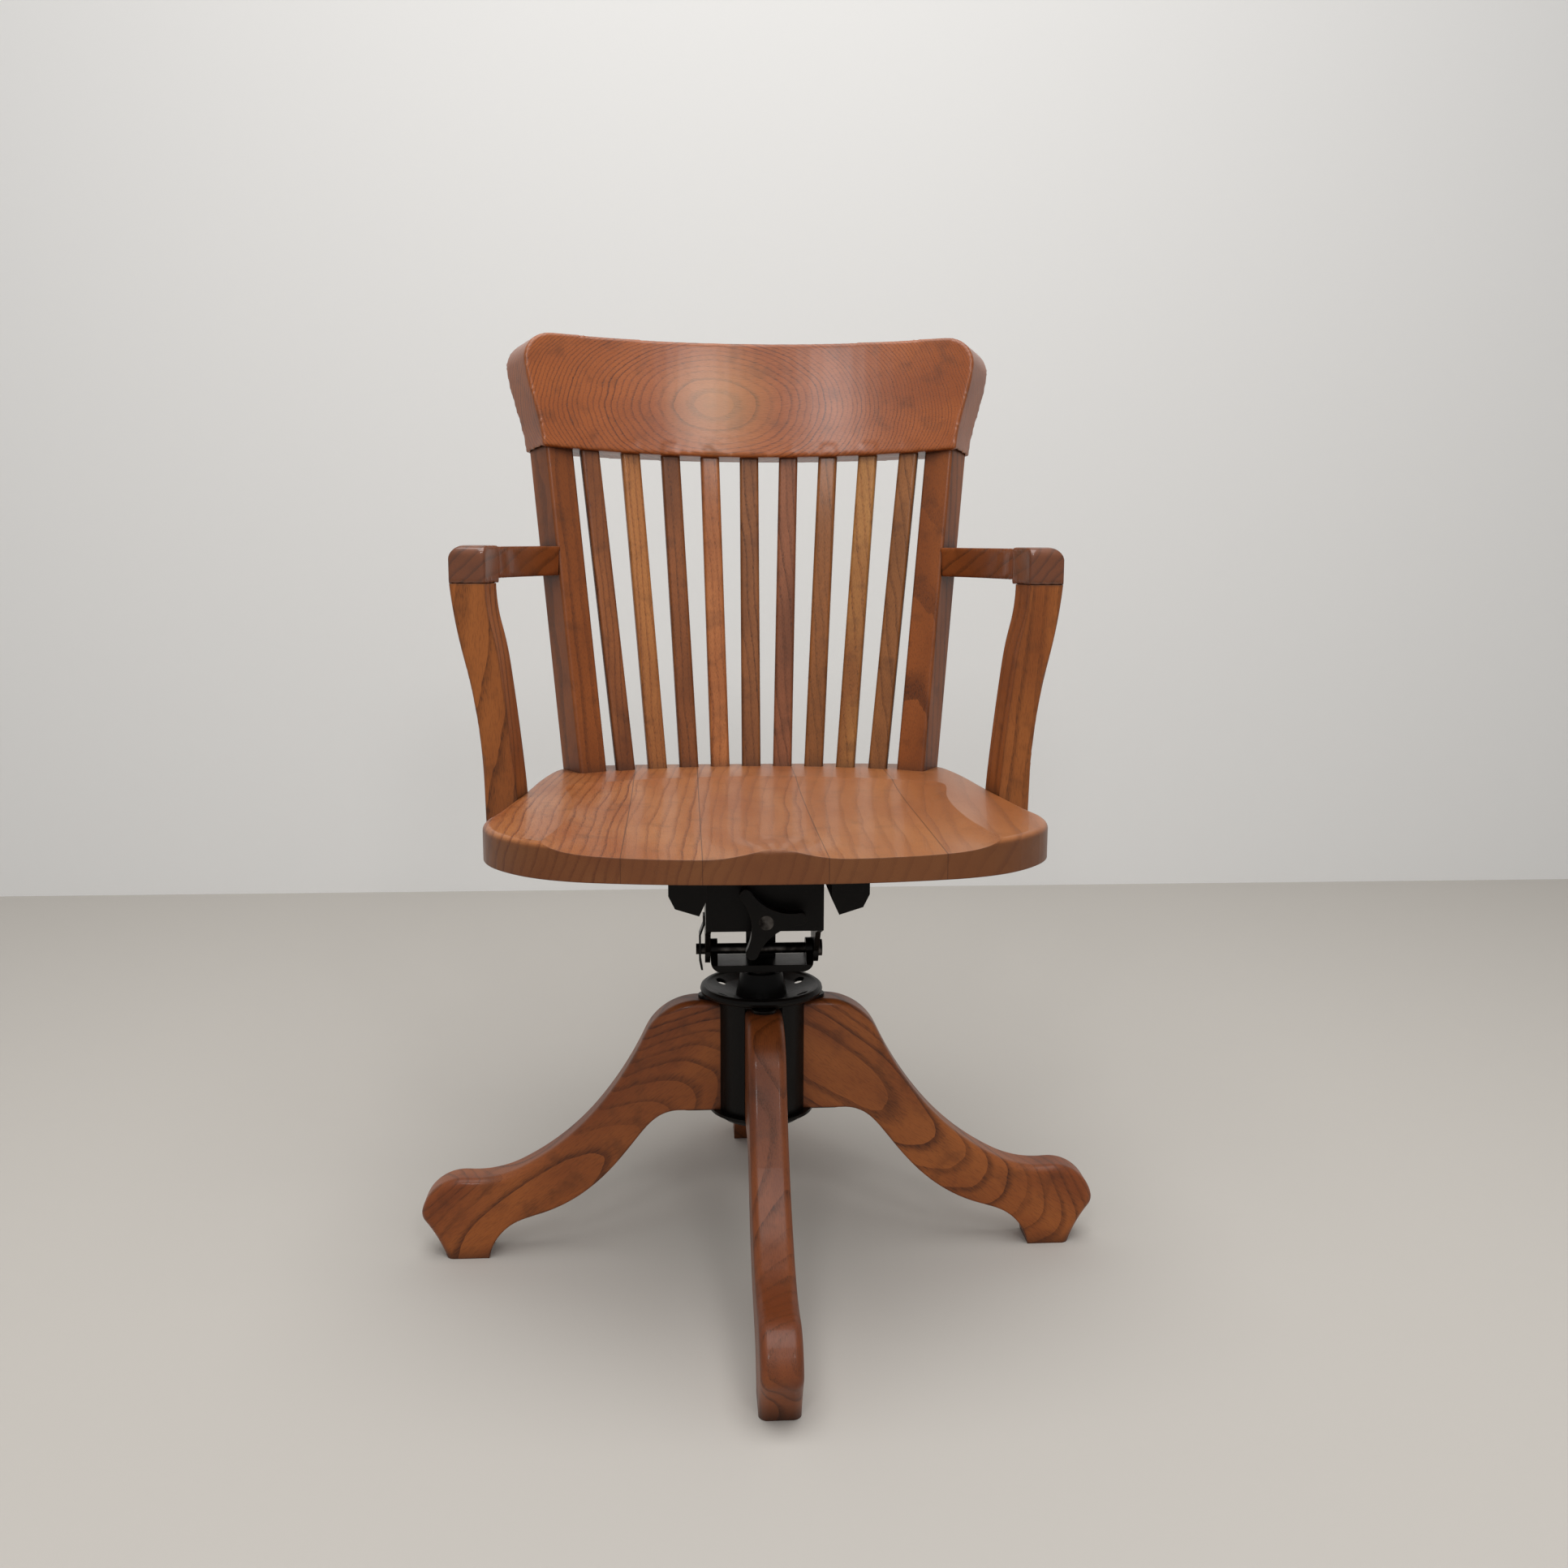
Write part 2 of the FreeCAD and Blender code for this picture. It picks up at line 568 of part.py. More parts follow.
def make_yoke():
    """Iron fork on the spindle: two cheeks for the axle, and an upright that takes the spring."""
    body = new_body("yoke")
    low, wall, half = v.yoke_bottom, v.yoke_thick, v.yoke_width / 2
    corner, ear = 1.6 * wall, v.axle_radius + 5
    high = v.axle_height + ear
    fork = Outline(-half + corner, low).line(half - corner, low)
    fork.arc((half - corner * BOW, low + corner * BOW), (half, low + corner)).line(half, high)
    fork.line(half - wall, high).line(half - wall, low + wall).line(wall - half, low + wall)
    fork.line(wall - half, high).line(-half, high).line(-half, low + corner)
    fork.arc((corner * BOW - half, low + corner * BOW), (corner - half, low))
    feature(body, "Pad", sketch(body, "XZ_Plane", fork.edges), "yoke_depth", symmetric=True)
    side = v.yoke_depth / 2
    for sign in (-1, 1):
        outside = Outline(sign * ear, v.axle_height)
        outside.arc((sign * ear * (1 - BOW), v.axle_height + ear * (1 - BOW)), (0, high)).line(0, high + 5)
        outside.line(sign * (side + 5), high + 5).line(sign * (side + 5), low + wall)
        outside.line(sign * side, low + wall)
        feature(body, "Pocket", sketch(body, "YZ_Plane", outside.close()), None, symmetric=True)
    width, rear = v.upright_width / 2, v.upright_front + v.yoke_thick
    top = v.screw_height + 4
    upright = Outline(-width, low + wall - 1).line(width, low + wall - 1).line(width, top)
    upright.arc((0, top + width), (-width, top))
    plate = sketch(body, "XZ_Plane", upright.close())
    bind(plate, **{"AttachmentOffset.Base.z": "0 - upright_front - yoke_thick"})
    feature(body, "Pad", plate, "yoke_thick")
    boss = sketch(body, "XZ_Plane", circle(v.spring_radius - v.spring_wire / 2 - 1, 0, v.screw_height))
    bind(boss, **{"AttachmentOffset.Base.z": "0 - upright_front - 1"})
    feature(body, "Pad", boss, "pilot_length + 1")
    parts["yoke"] = cut("yoke", body, parts["spindle_screw"], parts["tilt_axle"])


def make_axle():
    """Plain pin across the yoke, headed at the right and held by the keeper at the left."""
    body = new_body("tilt_axle")
    radius, height = v.axle_radius, v.axle_height
    pin = sketch(body, "YZ_Plane", circle(radius, 0, height))
    feature(body, "Pad", pin, "frame_width + 2 * axle_proud", symmetric=True)
    head = sketch(body, "YZ_Plane", circle(radius + 3, 0, height), "frame_width / 2 + free_gap")
    feature(body, "Pad", head, "axle_head")
    end = rectangle(-2 * radius, height - 2 * radius, 2 * radius, height + 2 * radius)
    feature(body, "Pocket", sketch(body, "YZ_Plane", end, "frame_width / 2 + free_gap + axle_head"), "axle_proud",
            backwards=True)
    parts["tilt_axle"] = body


make_axle()
make_spindle()
make_yoke()

# The tilting frame under the seat turns on the axle


def frame_side():
    """Side plate: y runs from front to back, z up."""
    boss = 14
    outline = Outline(-v.frame_front, v.seat_under).line(-v.frame_front, v.frame_front_low)
    outline.line(-v.frame_front * 0.55, v.frame_front_low - 10).line(-boss, v.axle_height)
    outline.arc((0, v.axle_height - boss), (boss, v.axle_height))
    outline.line(v.frame_rear, v.axle_height + 32).line(v.frame_rear, v.seat_under)
    return outline.close()


def make_tilt_frame():
    body = new_body("tilt_frame_box")
    feature(body, "Pad", sketch(body, "YZ_Plane", frame_side()), "frame_width", symmetric=True)
    half, wall = v.frame_width / 2 - v.frame_wall, v.frame_wall
    inside = rectangle(-half, wall - v.frame_front, half, v.frame_rear - wall)
    opening = sketch(body, "XY_Plane", inside, "axle_height - 20")
    feature(body, "Pocket", opening, "seat_under - frame_wall - axle_height + 20", backwards=True)
    boss = sketch(body, "XZ_Plane", circle(v.screw_radius + 6, 0, v.screw_height), "frame_front - 1")
    feature(body, "Pad", boss, "knob_boss + 1")
    hole = sketch(body, "XZ_Plane", circle(v.screw_radius + v.running_fit, 0, v.screw_height), "frame_front")
    feature(body, "Pocket", hole, "4 * knob_boss", symmetric=True)
    axle_hole = sketch(body, "YZ_Plane", circle(v.axle_radius + v.running_fit, 0, v.axle_height))
    feature(body, "Pocket", axle_hole, None, symmetric=True)
    parts["tilt_frame"] = cut("tilt_frame", body, *frame_bolts)


def bolt(position, direction, shank_radius, length, head_radius, head_height):
    """A hexagon-headed bolt; position is under its head."""
    head = doc.addObject("Part::Prism", "bolt_head")
    head.Polygon = 6
    head.Circumradius = head_radius
    head.Height = head_height
    head.Placement.Base.z = -head_height
    shank = doc.addObject("Part::Cylinder", "bolt_shank")
    shank.Radius = shank_radius
    shank.Height = length
    whole = doc.addObject("Part::Fuse", "bolt")
    whole.Base, whole.Tool = head, shank
    return place(whole, position, Rotation(Vector(0, 0, 1), direction))


frame_bolts = []
for side in (-1, 1):
    for y in (0.6 * v.frame_rear - 5, -0.6 * v.frame_front):
        inner_face = Vector(side * (v.frame_width / 2 - v.frame_wall), y, v.seat_under - 24)
        frame_bolts.append(bolt(inner_face, Vector(side, 0, 0), shank_radius=4,
                                length=v.frame_wall + v.bearer_wall + 9, head_radius=7, head_height=5))
parts["frame_bolts"] = group("frame_bolts", frame_bolts)
make_tilt_frame()


def make_keeper():
    """Spring-steel strip on the left side plate that holds the axle's end."""
    body = new_body("axle_keeper")
    face, gauge = -v.frame_width / 2, 2
    high, axle = v.axle_height + 36, v.axle_height
    bend = [(face, high), (face, high - 9), (face - 4, high - 20), (face - 4, axle - 10), (face - 2, axle - 20)]
    back = [(x - gauge, z) for x, z in reversed(bend)]
    feature(body, "Pad", sketch(body, "XZ_Plane", polygon(*bend, *back)), "2 * axle_radius + 5", symmetric=True)
    hole = sketch(body, "YZ_Plane", circle(v.axle_radius + v.free_gap, 0, v.axle_height))
    feature(body, "Pocket", hole, None, symmetric=True)
    parts["axle_keeper"] = body


def make_stop():
    """Rubber pad on the rear plate, against which the upright rests."""
    pad = doc.addObject("Part::Box", "tilt_stop")
    bind(pad, Length="upright_width - 6", Width="frame_rear - frame_wall - upright_front - yoke_thick - free_gap",
         Height="stop_height", x="3 - upright_width / 2", y="upright_front + yoke_thick + free_gap",
         z="screw_height - 0.6 * stop_height")
    parts["tilt_stop"] = pad


def make_bearer(name, side, screws):
    """Folded iron bearer beside the frame, with a lip that is screwed to the seat."""
    body = new_body(name + "_channel")
    inner, top, wall = v.frame_width / 2, v.seat_under, v.bearer_wall
    outer, low, lip = inner + v.bearer_width, top - v.bearer_depth, inner + v.bearer_width + v.bearer_lip
    shell = Outline(inner, top).line(inner, low + 15).line(inner + 7, low)
    shell.line(outer - 6, low + 7).line(outer, low + 19).line(outer, top - wall)
    shell.line(lip, top - wall).line(lip, top)
    hollow = Outline(inner + wall, top + 5).line(inner + wall, low + 16).line(inner + 9, low + wall + 1)
    hollow.line(outer - 8, low + wall + 7).line(outer - wall, low + 20).line(outer - wall, top + 5)
    shell.close(), hollow.close()
    if side < 0:
        shell.mirror(), hollow.mirror()
    feature(body, "Pad", sketch(body, "XZ_Plane", shell.edges), "bearer_length", symmetric=True)
    feature(body, "Pocket", sketch(body, "XZ_Plane", hollow.edges), "bearer_length - 2 * bearer_wall",
            symmetric=True)
    parts[name] = cut(name, body, *screws)


make_keeper()
make_stop()
bearer_screws = []
for name, side in (("seat_bearer_left", -1), ("seat_bearer_right", 1)):
    screws = []
    for y in (-0.4 * v.bearer_length, 0, 0.4 * v.bearer_length):
        x = side * (v.frame_width / 2 + v.bearer_width + v.bearer_lip / 2)
        under_lip = Vector(x, y, v.seat_under - v.bearer_wall)
        screws.append(wood_screw("bearer_screw", under_lip, Vector(0, 0, 1), "short_screw"))
    bearer_screws += screws
    make_bearer(name, side, screws + frame_bolts)
parts["bearer_screws"] = group("bearer_screws", bearer_screws)

# Tilt tension: knob, screw, cup and spring


def make_knob():
    """Three-lobed cast knob."""
    body = new_body("tension_knob_casting")
    reach, waist_reach, tip = v.knob_reach, 2 * v.screw_radius, 6
    edges, corners = [], []
    for k in range(3):
        angle = math.radians(6 + 120 * k)
        ahead, across = Vector(math.cos(angle), math.sin(angle), 0), Vector(-math.sin(angle), math.cos(angle), 0)
        low, high = ahead * (reach - tip) - across * tip, ahead * (reach - tip) + across * tip
        corners.append((low, ahead * reach, high))
    for k in range(3):
        low, end, high = corners[k]
        following = corners[(k + 1) % 3][0]
        waist = (high + following) * 0.5
        waist = waist * (waist_reach / waist.Length)
        edges += [Part.Arc(low, end, high), Part.Arc(high, waist, following)]
    lift = Placement(Vector(0, v.screw_height, 0), Rotation()).toMatrix()
    for edge in edges:
        edge.transform(lift)
    feature(body, "Pad", sketch(body, "XZ_Plane", edges, "frame_front + 2 * knob_boss"), "knob_thick")
    neck = circle(v.screw_radius + 5, 0, v.screw_height)
    feature(body, "Pad", sketch(body, "XZ_Plane", neck, "frame_front + knob_boss + free_gap"), "knob_boss + 1")
    parts["tension_knob"] = cut("tension_knob", body, parts["tension_screw"])


def make_tension_screw():
    body = new_body("tension_screw")
    rod = sketch(body, "XZ_Plane", circle(v.screw_radius, 0, v.screw_height), "cup_face - screw_tail")
    feature(body, "Pad", rod, "frame_front + 2 * knob_boss + knob_thick - cup_face + screw_tail")
    collar = sketch(body, "XZ_Plane", circle(v.screw_radius + 4, 0, v.screw_height),
                    "cup_face + cup_thick + 2")
    feature(body, "Pad", collar, "frame_front - frame_wall - free_gap - cup_face - cup_thick - 2")
    parts["tension_screw"] = body


def make_cup():
    """Nut of the tension screw, and front seat of the spring."""
    body = new_body("spring_cup")
    outer, inner = v.spring_radius + v.spring_wire / 2 + 1, v.spring_radius - v.spring_wire / 2 - 1
    flange = sketch(body, "XZ_Plane", circle(outer, 0, v.screw_height), "cup_face")
    feature(body, "Pad", flange, "cup_thick")
    pilot = sketch(body, "XZ_Plane", circle(inner, 0, v.screw_height), "cup_face - pilot_length")
    feature(body, "Pad", pilot, "pilot_length + 1")
    bore = sketch(body, "XZ_Plane", circle(v.screw_radius + v.running_fit, 0, v.screw_height), "cup_face")
    feature(body, "Pocket", bore, "4 * pilot_length", symmetric=True)
    parts["spring_cup"] = body


def make_spring():
    """Coil spring between cup and upright: one wire with eight sides, each half turn a pair of tangent arcs."""
    wire, radius = v.spring_wire / 2, v.spring_radius
    length = v.cup_face + v.upright_front - v.spring_wire - 2 * v.free_gap
    halves = round(2 * v.spring_turns)
    climb = length / (halves * math.pi)
    steep = math.hypot(radius, climb)
    edges = []

    def on_coil(turn):
        spot = Vector(radius * math.cos(turn), radius * math.sin(turn), climb * turn)
        return spot, Vector(-radius * math.sin(turn), radius * math.cos(turn), climb) * (1 / steep)

    for k in range(halves):
        (start, leaving), (end, arriving) = on_coil(k * math.pi), on_coil((k + 1) * math.pi)
        edges += [arc.toShape() for arc in two_arcs(start, leaving, end, arriving)]
    path = Part.Wire(edges)
    spots = path.discretize(halves * 24)
    gap = min(spots[i].distanceToPoint(spots[j]) for i in range(len(spots)) for j in range(i + 24, len(spots)))
    print("least gap of the spring to itself:", round(gap - 2 * wire, 2), "mm")
    start, leaving = on_coil(0)
    outward = Vector(1, 0, 0)
    up = leaving.cross(outward)
    corners = [start + (outward * math.cos(a) + up * math.sin(a)) * wire for a in
               (math.radians(22.5 + 45 * k) for k in range(9))]
    spring = doc.addObject("Part::Feature", "tension_spring")
    spring.Shape = path.makePipeShell([Part.makePolygon(corners)], True, False)
    place(spring, Vector(0, wire + v.free_gap - v.cup_face, v.screw_height), Rotation(Vector(1, 0, 0), -90))
    parts["tension_spring"] = spring


make_tension_screw()
make_knob()
make_cup()
make_spring()

# The back: two posts and nine slats, let into the seat and the crest rail

seat_top = v.seat_under + v.seat_thick
rake = math.radians(v.back_rake)
back_shift = v.back_rise * math.tan(rake)


def back_arc(x, end_x, end_y, middle_y):
    """Front of the back at x: a circle through both ends and the middle."""
    sag = middle_y - end_y
    radius = (end_x ** 2 + sag ** 2) / (2 * sag)
    return middle_y - radius + math.sqrt(radius ** 2 - x ** 2), math.degrees(math.asin(x / radius))


def rounded_section(x0, y0, x1, y1):
    r = min(v.edge_round, (x1 - x0) / 3, (y1 - y0) / 3)
    bow = r * BOW
    outline = Outline(x0 + r, y0).line(x1 - r, y0).arc((x1 - bow, y0 + bow), (x1, y0 + r)).line(x1, y1 - r)
    outline.arc((x1 - bow, y1 - bow), (x1 - r, y1)).line(x0 + r, y1).arc((x0 + bow, y1 - bow), (x0, y1 - r))
    outline.line(x0, y0 + r).arc((x0 + bow, y0 + bow), (x0 + r, y0))
    return outline.edges


def leaning_bar(name, foot, head, turn, section):
    """A straight bar from below the seat's top to inside the crest rail; foot and head are at their faces."""
    way = head - foot
    body = new_body(name)
    sk = sketch(body, "XY_Plane", section)
    bar = body.newObject("PartDesign::Pad", "Pad")
    bar.Profile = sk
    bar.Length = way.Length + 2 * v.housing
    lean = Rotation(Vector(0, 0, 1), way)
    way.normalize()
    place(body, foot - way * v.housing, lean * Rotation(Vector(0, 0, 1), turn))
    parts[name] = body
    return body


bars = []
for name, side in (("back_post_left", -1), ("back_post_right", 1)):
    foot = Vector(side * v.post_foot_x, v.post_foot_y, seat_top)
    head = Vector(side * v.post_head_x, v.post_foot_y + back_shift, seat_top + v.back_rise)
    inward = (0, v.post_wide) if side < 0 else (-v.post_wide, 0)
    bars.append(leaning_bar(name, foot, head, -side * v.post_turn,
                            rounded_section(inward[0], 0, inward[1], v.post_deep)))
slats = []
for k in range(round(v.slat_count)):
    step = k - (v.slat_count - 1) / 2
    low_x, high_x = step * v.slat_pitch_low, step * v.slat_pitch_high
    low_y, low_turn = back_arc(low_x, v.post_foot_x, v.post_foot_y, v.back_middle_y)
    high_y, high_turn = back_arc(high_x, v.post_head_x, v.post_foot_y, v.back_middle_y)
    drop = (v.back_middle_y - high_y) * math.tan(rake)
    foot = Vector(low_x, low_y, seat_top)
    head = Vector(high_x, high_y + back_shift, seat_top + v.back_rise - v.crest_low + drop)
    half = v.slat_wide / 2
    slats.append(leaning_bar(f"slat_{k + 1}", foot, head, -(low_turn + high_turn) / 2,
                             rounded_section(-half, 0, half, v.slat_thick)))


def make_crest():
    """Crest rail sawn hollow in front, with rounded ears; drawn upright, then leaned back."""
    body = new_body("crest_rail_blank")
    half, height = v.crest_half, v.crest_height
    sag = v.back_middle_y - v.post_foot_y
    front_r = (half ** 2 + sag ** 2) / (2 * sag)
    turn = math.radians(v.post_turn)
    end_x, end_y = half + v.crest_end * math.sin(turn), v.crest_end * math.cos(turn) - sag
    drop = v.crest_middle - end_y
    rear_r = (end_x ** 2 + drop ** 2) / (2 * drop)
    wide = end_x + 45

    def depth(radius):
        return math.sqrt(radius ** 2 - wide ** 2) - radius

    band = Outline(-wide, depth(front_r)).arc((0, 0), (wide, depth(front_r)))
    band.line(wide, v.crest_middle + depth(rear_r)).arc((0, v.crest_middle), (-wide, v.crest_middle + depth(rear_r)))
    feature(body, "Pad", sketch(body, "XY_Plane", band.close()), "crest_height")
    fall = v.crest_crown * (wide / half) ** 2
    crown = Outline(-wide, height - fall).arc((0, height), (wide, height - fall))
    crown.line(wide, 2 * height).line(-wide, 2 * height)
    feature(body, "Pocket", sketch(body, "XZ_Plane", crown.close()), "8 * crest_end", symmetric=True)
    across = half * math.cos(turn) + sag * math.sin(turn)
    flare, r, ear_top = v.crest_flare * math.cos(turn), v.ear_round, height - v.crest_crown
    for side in (-1, 1):
        outside = Outline(across, -5).curve((across + 0.36 * flare, 0.30 * height),
                                            (across + 0.76 * flare, 0.52 * height),
                                            (across + flare, ear_top - r))
        outside.head(0, 1).bend(across + flare - r, ear_top).line(across + flare - r, 2 * height)
        outside.line(across + wide, 2 * height).line(across + wide, -5)
        outside.close()
        if side < 0:
            outside.mirror()
        feature(body, "Pocket", sketch(body, "XZ_Plane", outside.edges, turn=-side * v.post_turn),
                "8 * crest_end", symmetric=True)
    place(body, Vector(0, v.back_middle_y + back_shift, seat_top + v.back_rise - v.crest_low),
          Rotation(Vector(1, 0, 0), -v.back_rake))
    parts["crest_rail"] = cut("crest_rail", body, *bars, *slats)


make_crest()

# Arms

# Sides of the knuckle, where post and rail meet, outward from the middle of the post's foot
KNUCKLE_INNER, KNUCKLE_OUTER = 10, 47


def make_arm_post(name, side):
    """S-curved post let into the side of the seat and held there by two long screws."""
    body = new_body(name + "_blank")
    foot = v.seat_under + 2
    rise = v.arm_joint - foot

    def at(x, share):
        return x, foot + share * rise

    outline = Outline(*at(15.7, 0)).line(*at(16.6, 0.17)).bend(*at(34, 0.695)).bend(*at(KNUCKLE_OUTER, 1))
    outline.line(*at(KNUCKLE_INNER, 1)).head(0, -1)
    outline.bend(*at(4.5, 0.827)).bend(*at(-3, 0.672)).bend(*at(-16, 0.205)).bend(*at(-18.5, 0))
    outline.close()
    if side < 0:
        outline.mirror()
    feature(body, "Pad", sketch(body, "XZ_Plane", outline.edges), "arm_thick", symmetric=True)

    def long_edge(edge):
        return edge.BoundBox.ZLength > rise / 2

    round_edges(body, "edge_round", long_edge)
    turn = Rotation(Vector(0, 0, 1), side * v.arm_turn)
    middle = Vector(side * v.arm_x, v.arm_y, 0)
    place(body, middle, turn)
    screws = []
    for y, z in ((-7, 0.3), (7, 0.7)):
        spot = middle + turn.multVec(Vector(side * 15.9, y, v.seat_under + z * v.seat_thick))
        screws.append(wood_screw("post_screw", spot, turn.multVec(Vector(-side, 0, 0)), "2 * screw_length"))
    post_screws.extend(screws)
    parts[name] = cut(name, body, *screws)


def make_arm_rail(name, side, post):
    """Curved rail from the knuckle over the arm post to the outer face of the back post."""
    body = new_body(name + "_blank")
    turn = math.radians(v.arm_turn)
    ahead, across = Vector(-math.sin(turn), math.cos(turn), 0), Vector(math.cos(turn), math.sin(turn), 0)
    middle, half = Vector(v.arm_x, v.arm_y, 0), v.arm_thick / 2

    def corner(x, y):
        spot = middle + across * x + ahead * y
        return spot.x, spot.y

    share = (v.rail_top - seat_top) / v.back_rise
    arris = Vector(v.post_foot_x + share * (v.post_head_x - v.post_foot_x), v.post_foot_y + share * back_shift, 0)
    facing = math.radians(v.post_turn)
    rearward, inward = Vector(math.sin(facing), math.cos(facing), 0), Vector(-math.cos(facing), math.sin(facing), 0)
    inner_end = arris + rearward * 1.5 + inward * 8
    outer_end = arris + rearward * (v.post_deep - 5) + inward * 8
    outer_meet = outer_end - inward * 14
    inner, outer = KNUCKLE_INNER, KNUCKLE_OUTER
    knuckle = Outline(*corner(inner, -half)).line(*corner(outer, -half)).line(*corner(outer, half + 16))
    knuckle.line(*corner(inner, half + 12)).close()
    rail = Outline(*corner(inner + 3, 0)).line(*corner(outer, 0)).line(*corner(outer, half))
    rail.curve((v.arm_x + 29, v.arm_y + 75), (v.arm_x + 8, v.arm_y + 150), (outer_meet.x, outer_meet.y))
    rail.line(outer_end.x, outer_end.y).line(inner_end.x, inner_end.y)
    rail.curve((v.arm_x - 22, v.arm_y + 130), (v.arm_x + 1, v.arm_y + 65), corner(inner + 3, half + 10))
    rail.close()
    if side < 0:
        knuckle.mirror(), rail.mirror()
    feature(body, "Pad", sketch(body, "XY_Plane", rail.edges, "rail_low"), "rail_top - rail_low")
    feature(body, "Pad", sketch(body, "XY_Plane", knuckle.edges, "arm_joint"), "knuckle_top - arm_joint")
    nose = corner(outer, -half)[1]

    def nose_edge(edge):
        box = edge.BoundBox
        return box.ZMin > v.rail_top and box.YMax < nose + 0.01 and box.XLength > v.arm_thick / 2

    round_edges(body, "knuckle_round", nose_edge)
    parts[name] = cut(name, body, post)


post_screws = []
for word, side in (("left", -1), ("right", 1)):
    make_arm_post("arm_post_" + word, side)
    make_arm_rail("arm_rail_" + word, side, parts["back_post_" + word])
parts["arm_post_screws"] = group("arm_post_screws", post_screws)

# The seat


def seat_outline():
    front, rear, half = v.seat_front, v.seat_rear, v.seat_half
    notch = v.arm_x - 13
    right = [(110, -front + 6), (192, -front + 27), (half - 19, -front + 70), (half, -front + 123),
             (half - 8, -front + 192), (notch - 2, v.arm_y), (notch - 17, v.post_foot_y),
             (v.post_foot_x + 21, rear - 27), (v.post_foot_x - 25, rear - 5)]
    outline = Outline(0, -front).head(1, 0).flow(*right, (0, rear), arrival=(-1, 0))
    outline.flow(*[(-x, y) for x, y in reversed(right)], (0, -front), arrival=(1, 0))
    return outline.edges


def hollow(x, y):
    """Depth of the saddle: two thigh hollows with a pommel between, open in front. It is negative outside."""
    narrow = (y + 60) / v.seat_half
    from_side = (v.saddle_half + 43 * narrow ** 2 - abs(x)) / 30
    from_rear = (v.saddle_rear - 84 * (x / v.seat_half) ** 2 - y) / 110
    if min(from_side, from_rear) < 0:
        return 1.6 * v.saddle_depth * max(min(from_side, from_rear), -1.5)
    inside = 1 - math.exp(-1.6 * from_side * from_rear / (from_side + from_rear + 0.01))
    forward = min(max((110 - v.seat_front - y) / 100, 0), 1)
    pommel = 0.8 * math.exp(-(x / 31) ** 2) * forward * forward * (3 - 2 * forward)
    return v.saddle_depth * inside * (1 - pommel)


def make_seat():
    """Seat board: its upper edge is rounded, then the saddle is worked out of it."""
    board = new_body("seat_board")
    feature(board, "Pad", sketch(board, "XY_Plane", seat_outline(), "seat_under"), "seat_thick")
    round_edges(board, "seat_round", lambda edge: edge.BoundBox.ZMin > seat_top - 0.1)
    half, front, rear = v.seat_half - 20, -v.seat_front - 12, v.saddle_rear + 30
    rows = []
    for i in range(21):
        x = half * (i / 10 - 1)
        rows.append([Vector(x, y, seat_top - hollow(x, y)) for y in
                     (front + (rear - front) * j / 16 for j in range(17))])
    surface = Part.BSplineSurface()
    surface.interpolate(rows)
    saddle = doc.addObject("Part::Feature", "saddle_cut")
    saddle.Shape = surface.toShape().extrude(Vector(0, 0, 2 * v.seat_thick))
    parts["seat"] = cut("seat", cut("seat_carved", board, saddle), parts["arm_post_left"], parts["arm_post_right"],
                        *bars, *slats, *bearer_screws, *post_screws)


make_seat()

# Checks, then one file per piece

doc.recompute()
for thing in doc.Objects:
    if "Invalid" in thing.State or "Error" in thing.State:
        raise RuntimeError(f"{thing.Name} ({thing.Label}) failed: {thing.State}")
for name, piece in parts.items():
    if piece.Shape.isNull() or not piece.Shape.isValid() or piece.Shape.Volume <= 0:
        raise RuntimeError(f"{name} has no valid shape")
for name, piece in parts.items():
    piece.Label = name
    piece.Shape.exportStep(f"parts/{name}.step")
print(len(parts), "pieces written")
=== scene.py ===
import math
import bmesh
import bpy
from mathutils import Matrix, Vector


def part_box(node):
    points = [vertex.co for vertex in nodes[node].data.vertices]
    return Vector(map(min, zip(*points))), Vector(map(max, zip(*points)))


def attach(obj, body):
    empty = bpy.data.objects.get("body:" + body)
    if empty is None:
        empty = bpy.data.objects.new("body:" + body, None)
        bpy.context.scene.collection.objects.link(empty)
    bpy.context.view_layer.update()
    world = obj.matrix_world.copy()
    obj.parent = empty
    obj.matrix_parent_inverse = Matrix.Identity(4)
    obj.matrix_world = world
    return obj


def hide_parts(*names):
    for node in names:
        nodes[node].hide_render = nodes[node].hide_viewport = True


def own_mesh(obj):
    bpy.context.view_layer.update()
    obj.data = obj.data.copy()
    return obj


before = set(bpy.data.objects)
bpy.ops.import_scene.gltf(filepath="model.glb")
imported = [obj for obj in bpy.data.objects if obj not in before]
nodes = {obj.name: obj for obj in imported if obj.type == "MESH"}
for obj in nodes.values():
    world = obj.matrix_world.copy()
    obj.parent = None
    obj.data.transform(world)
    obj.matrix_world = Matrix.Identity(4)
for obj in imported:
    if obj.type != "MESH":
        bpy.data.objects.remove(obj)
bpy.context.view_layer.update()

# Legs
# Four legs of oak, band-sawn from a 36 mm plank so that the grain runs down each leg, with their upper arrises
# rounded over. They were stained a red brown and varnished, and shoes and mops have darkened their edges.


def colour(code):
    """An sRGB hex value as the linear colour that a shader takes."""
    channels = [int(code[i:i + 2], 16) / 255 for i in (1, 3, 5)]
    return [c / 12.92 if c <= 0.04045 else ((c + 0.055) / 1.055) ** 2.4 for c in channels] + [1]


def add(tree, kind, links=None, **settings):
    """Adds a node; links gives each input a value or another node's output."""
    node = tree.nodes.new(kind)
    for name, value in settings.items():
        setattr(node, name, value)
    for name, value in (links or {}).items():
        socket = node.inputs[name]
        if isinstance(value, bpy.types.NodeSocket):
            tree.links.new(value, socket)
        else:
            socket.default_value = value
    return node


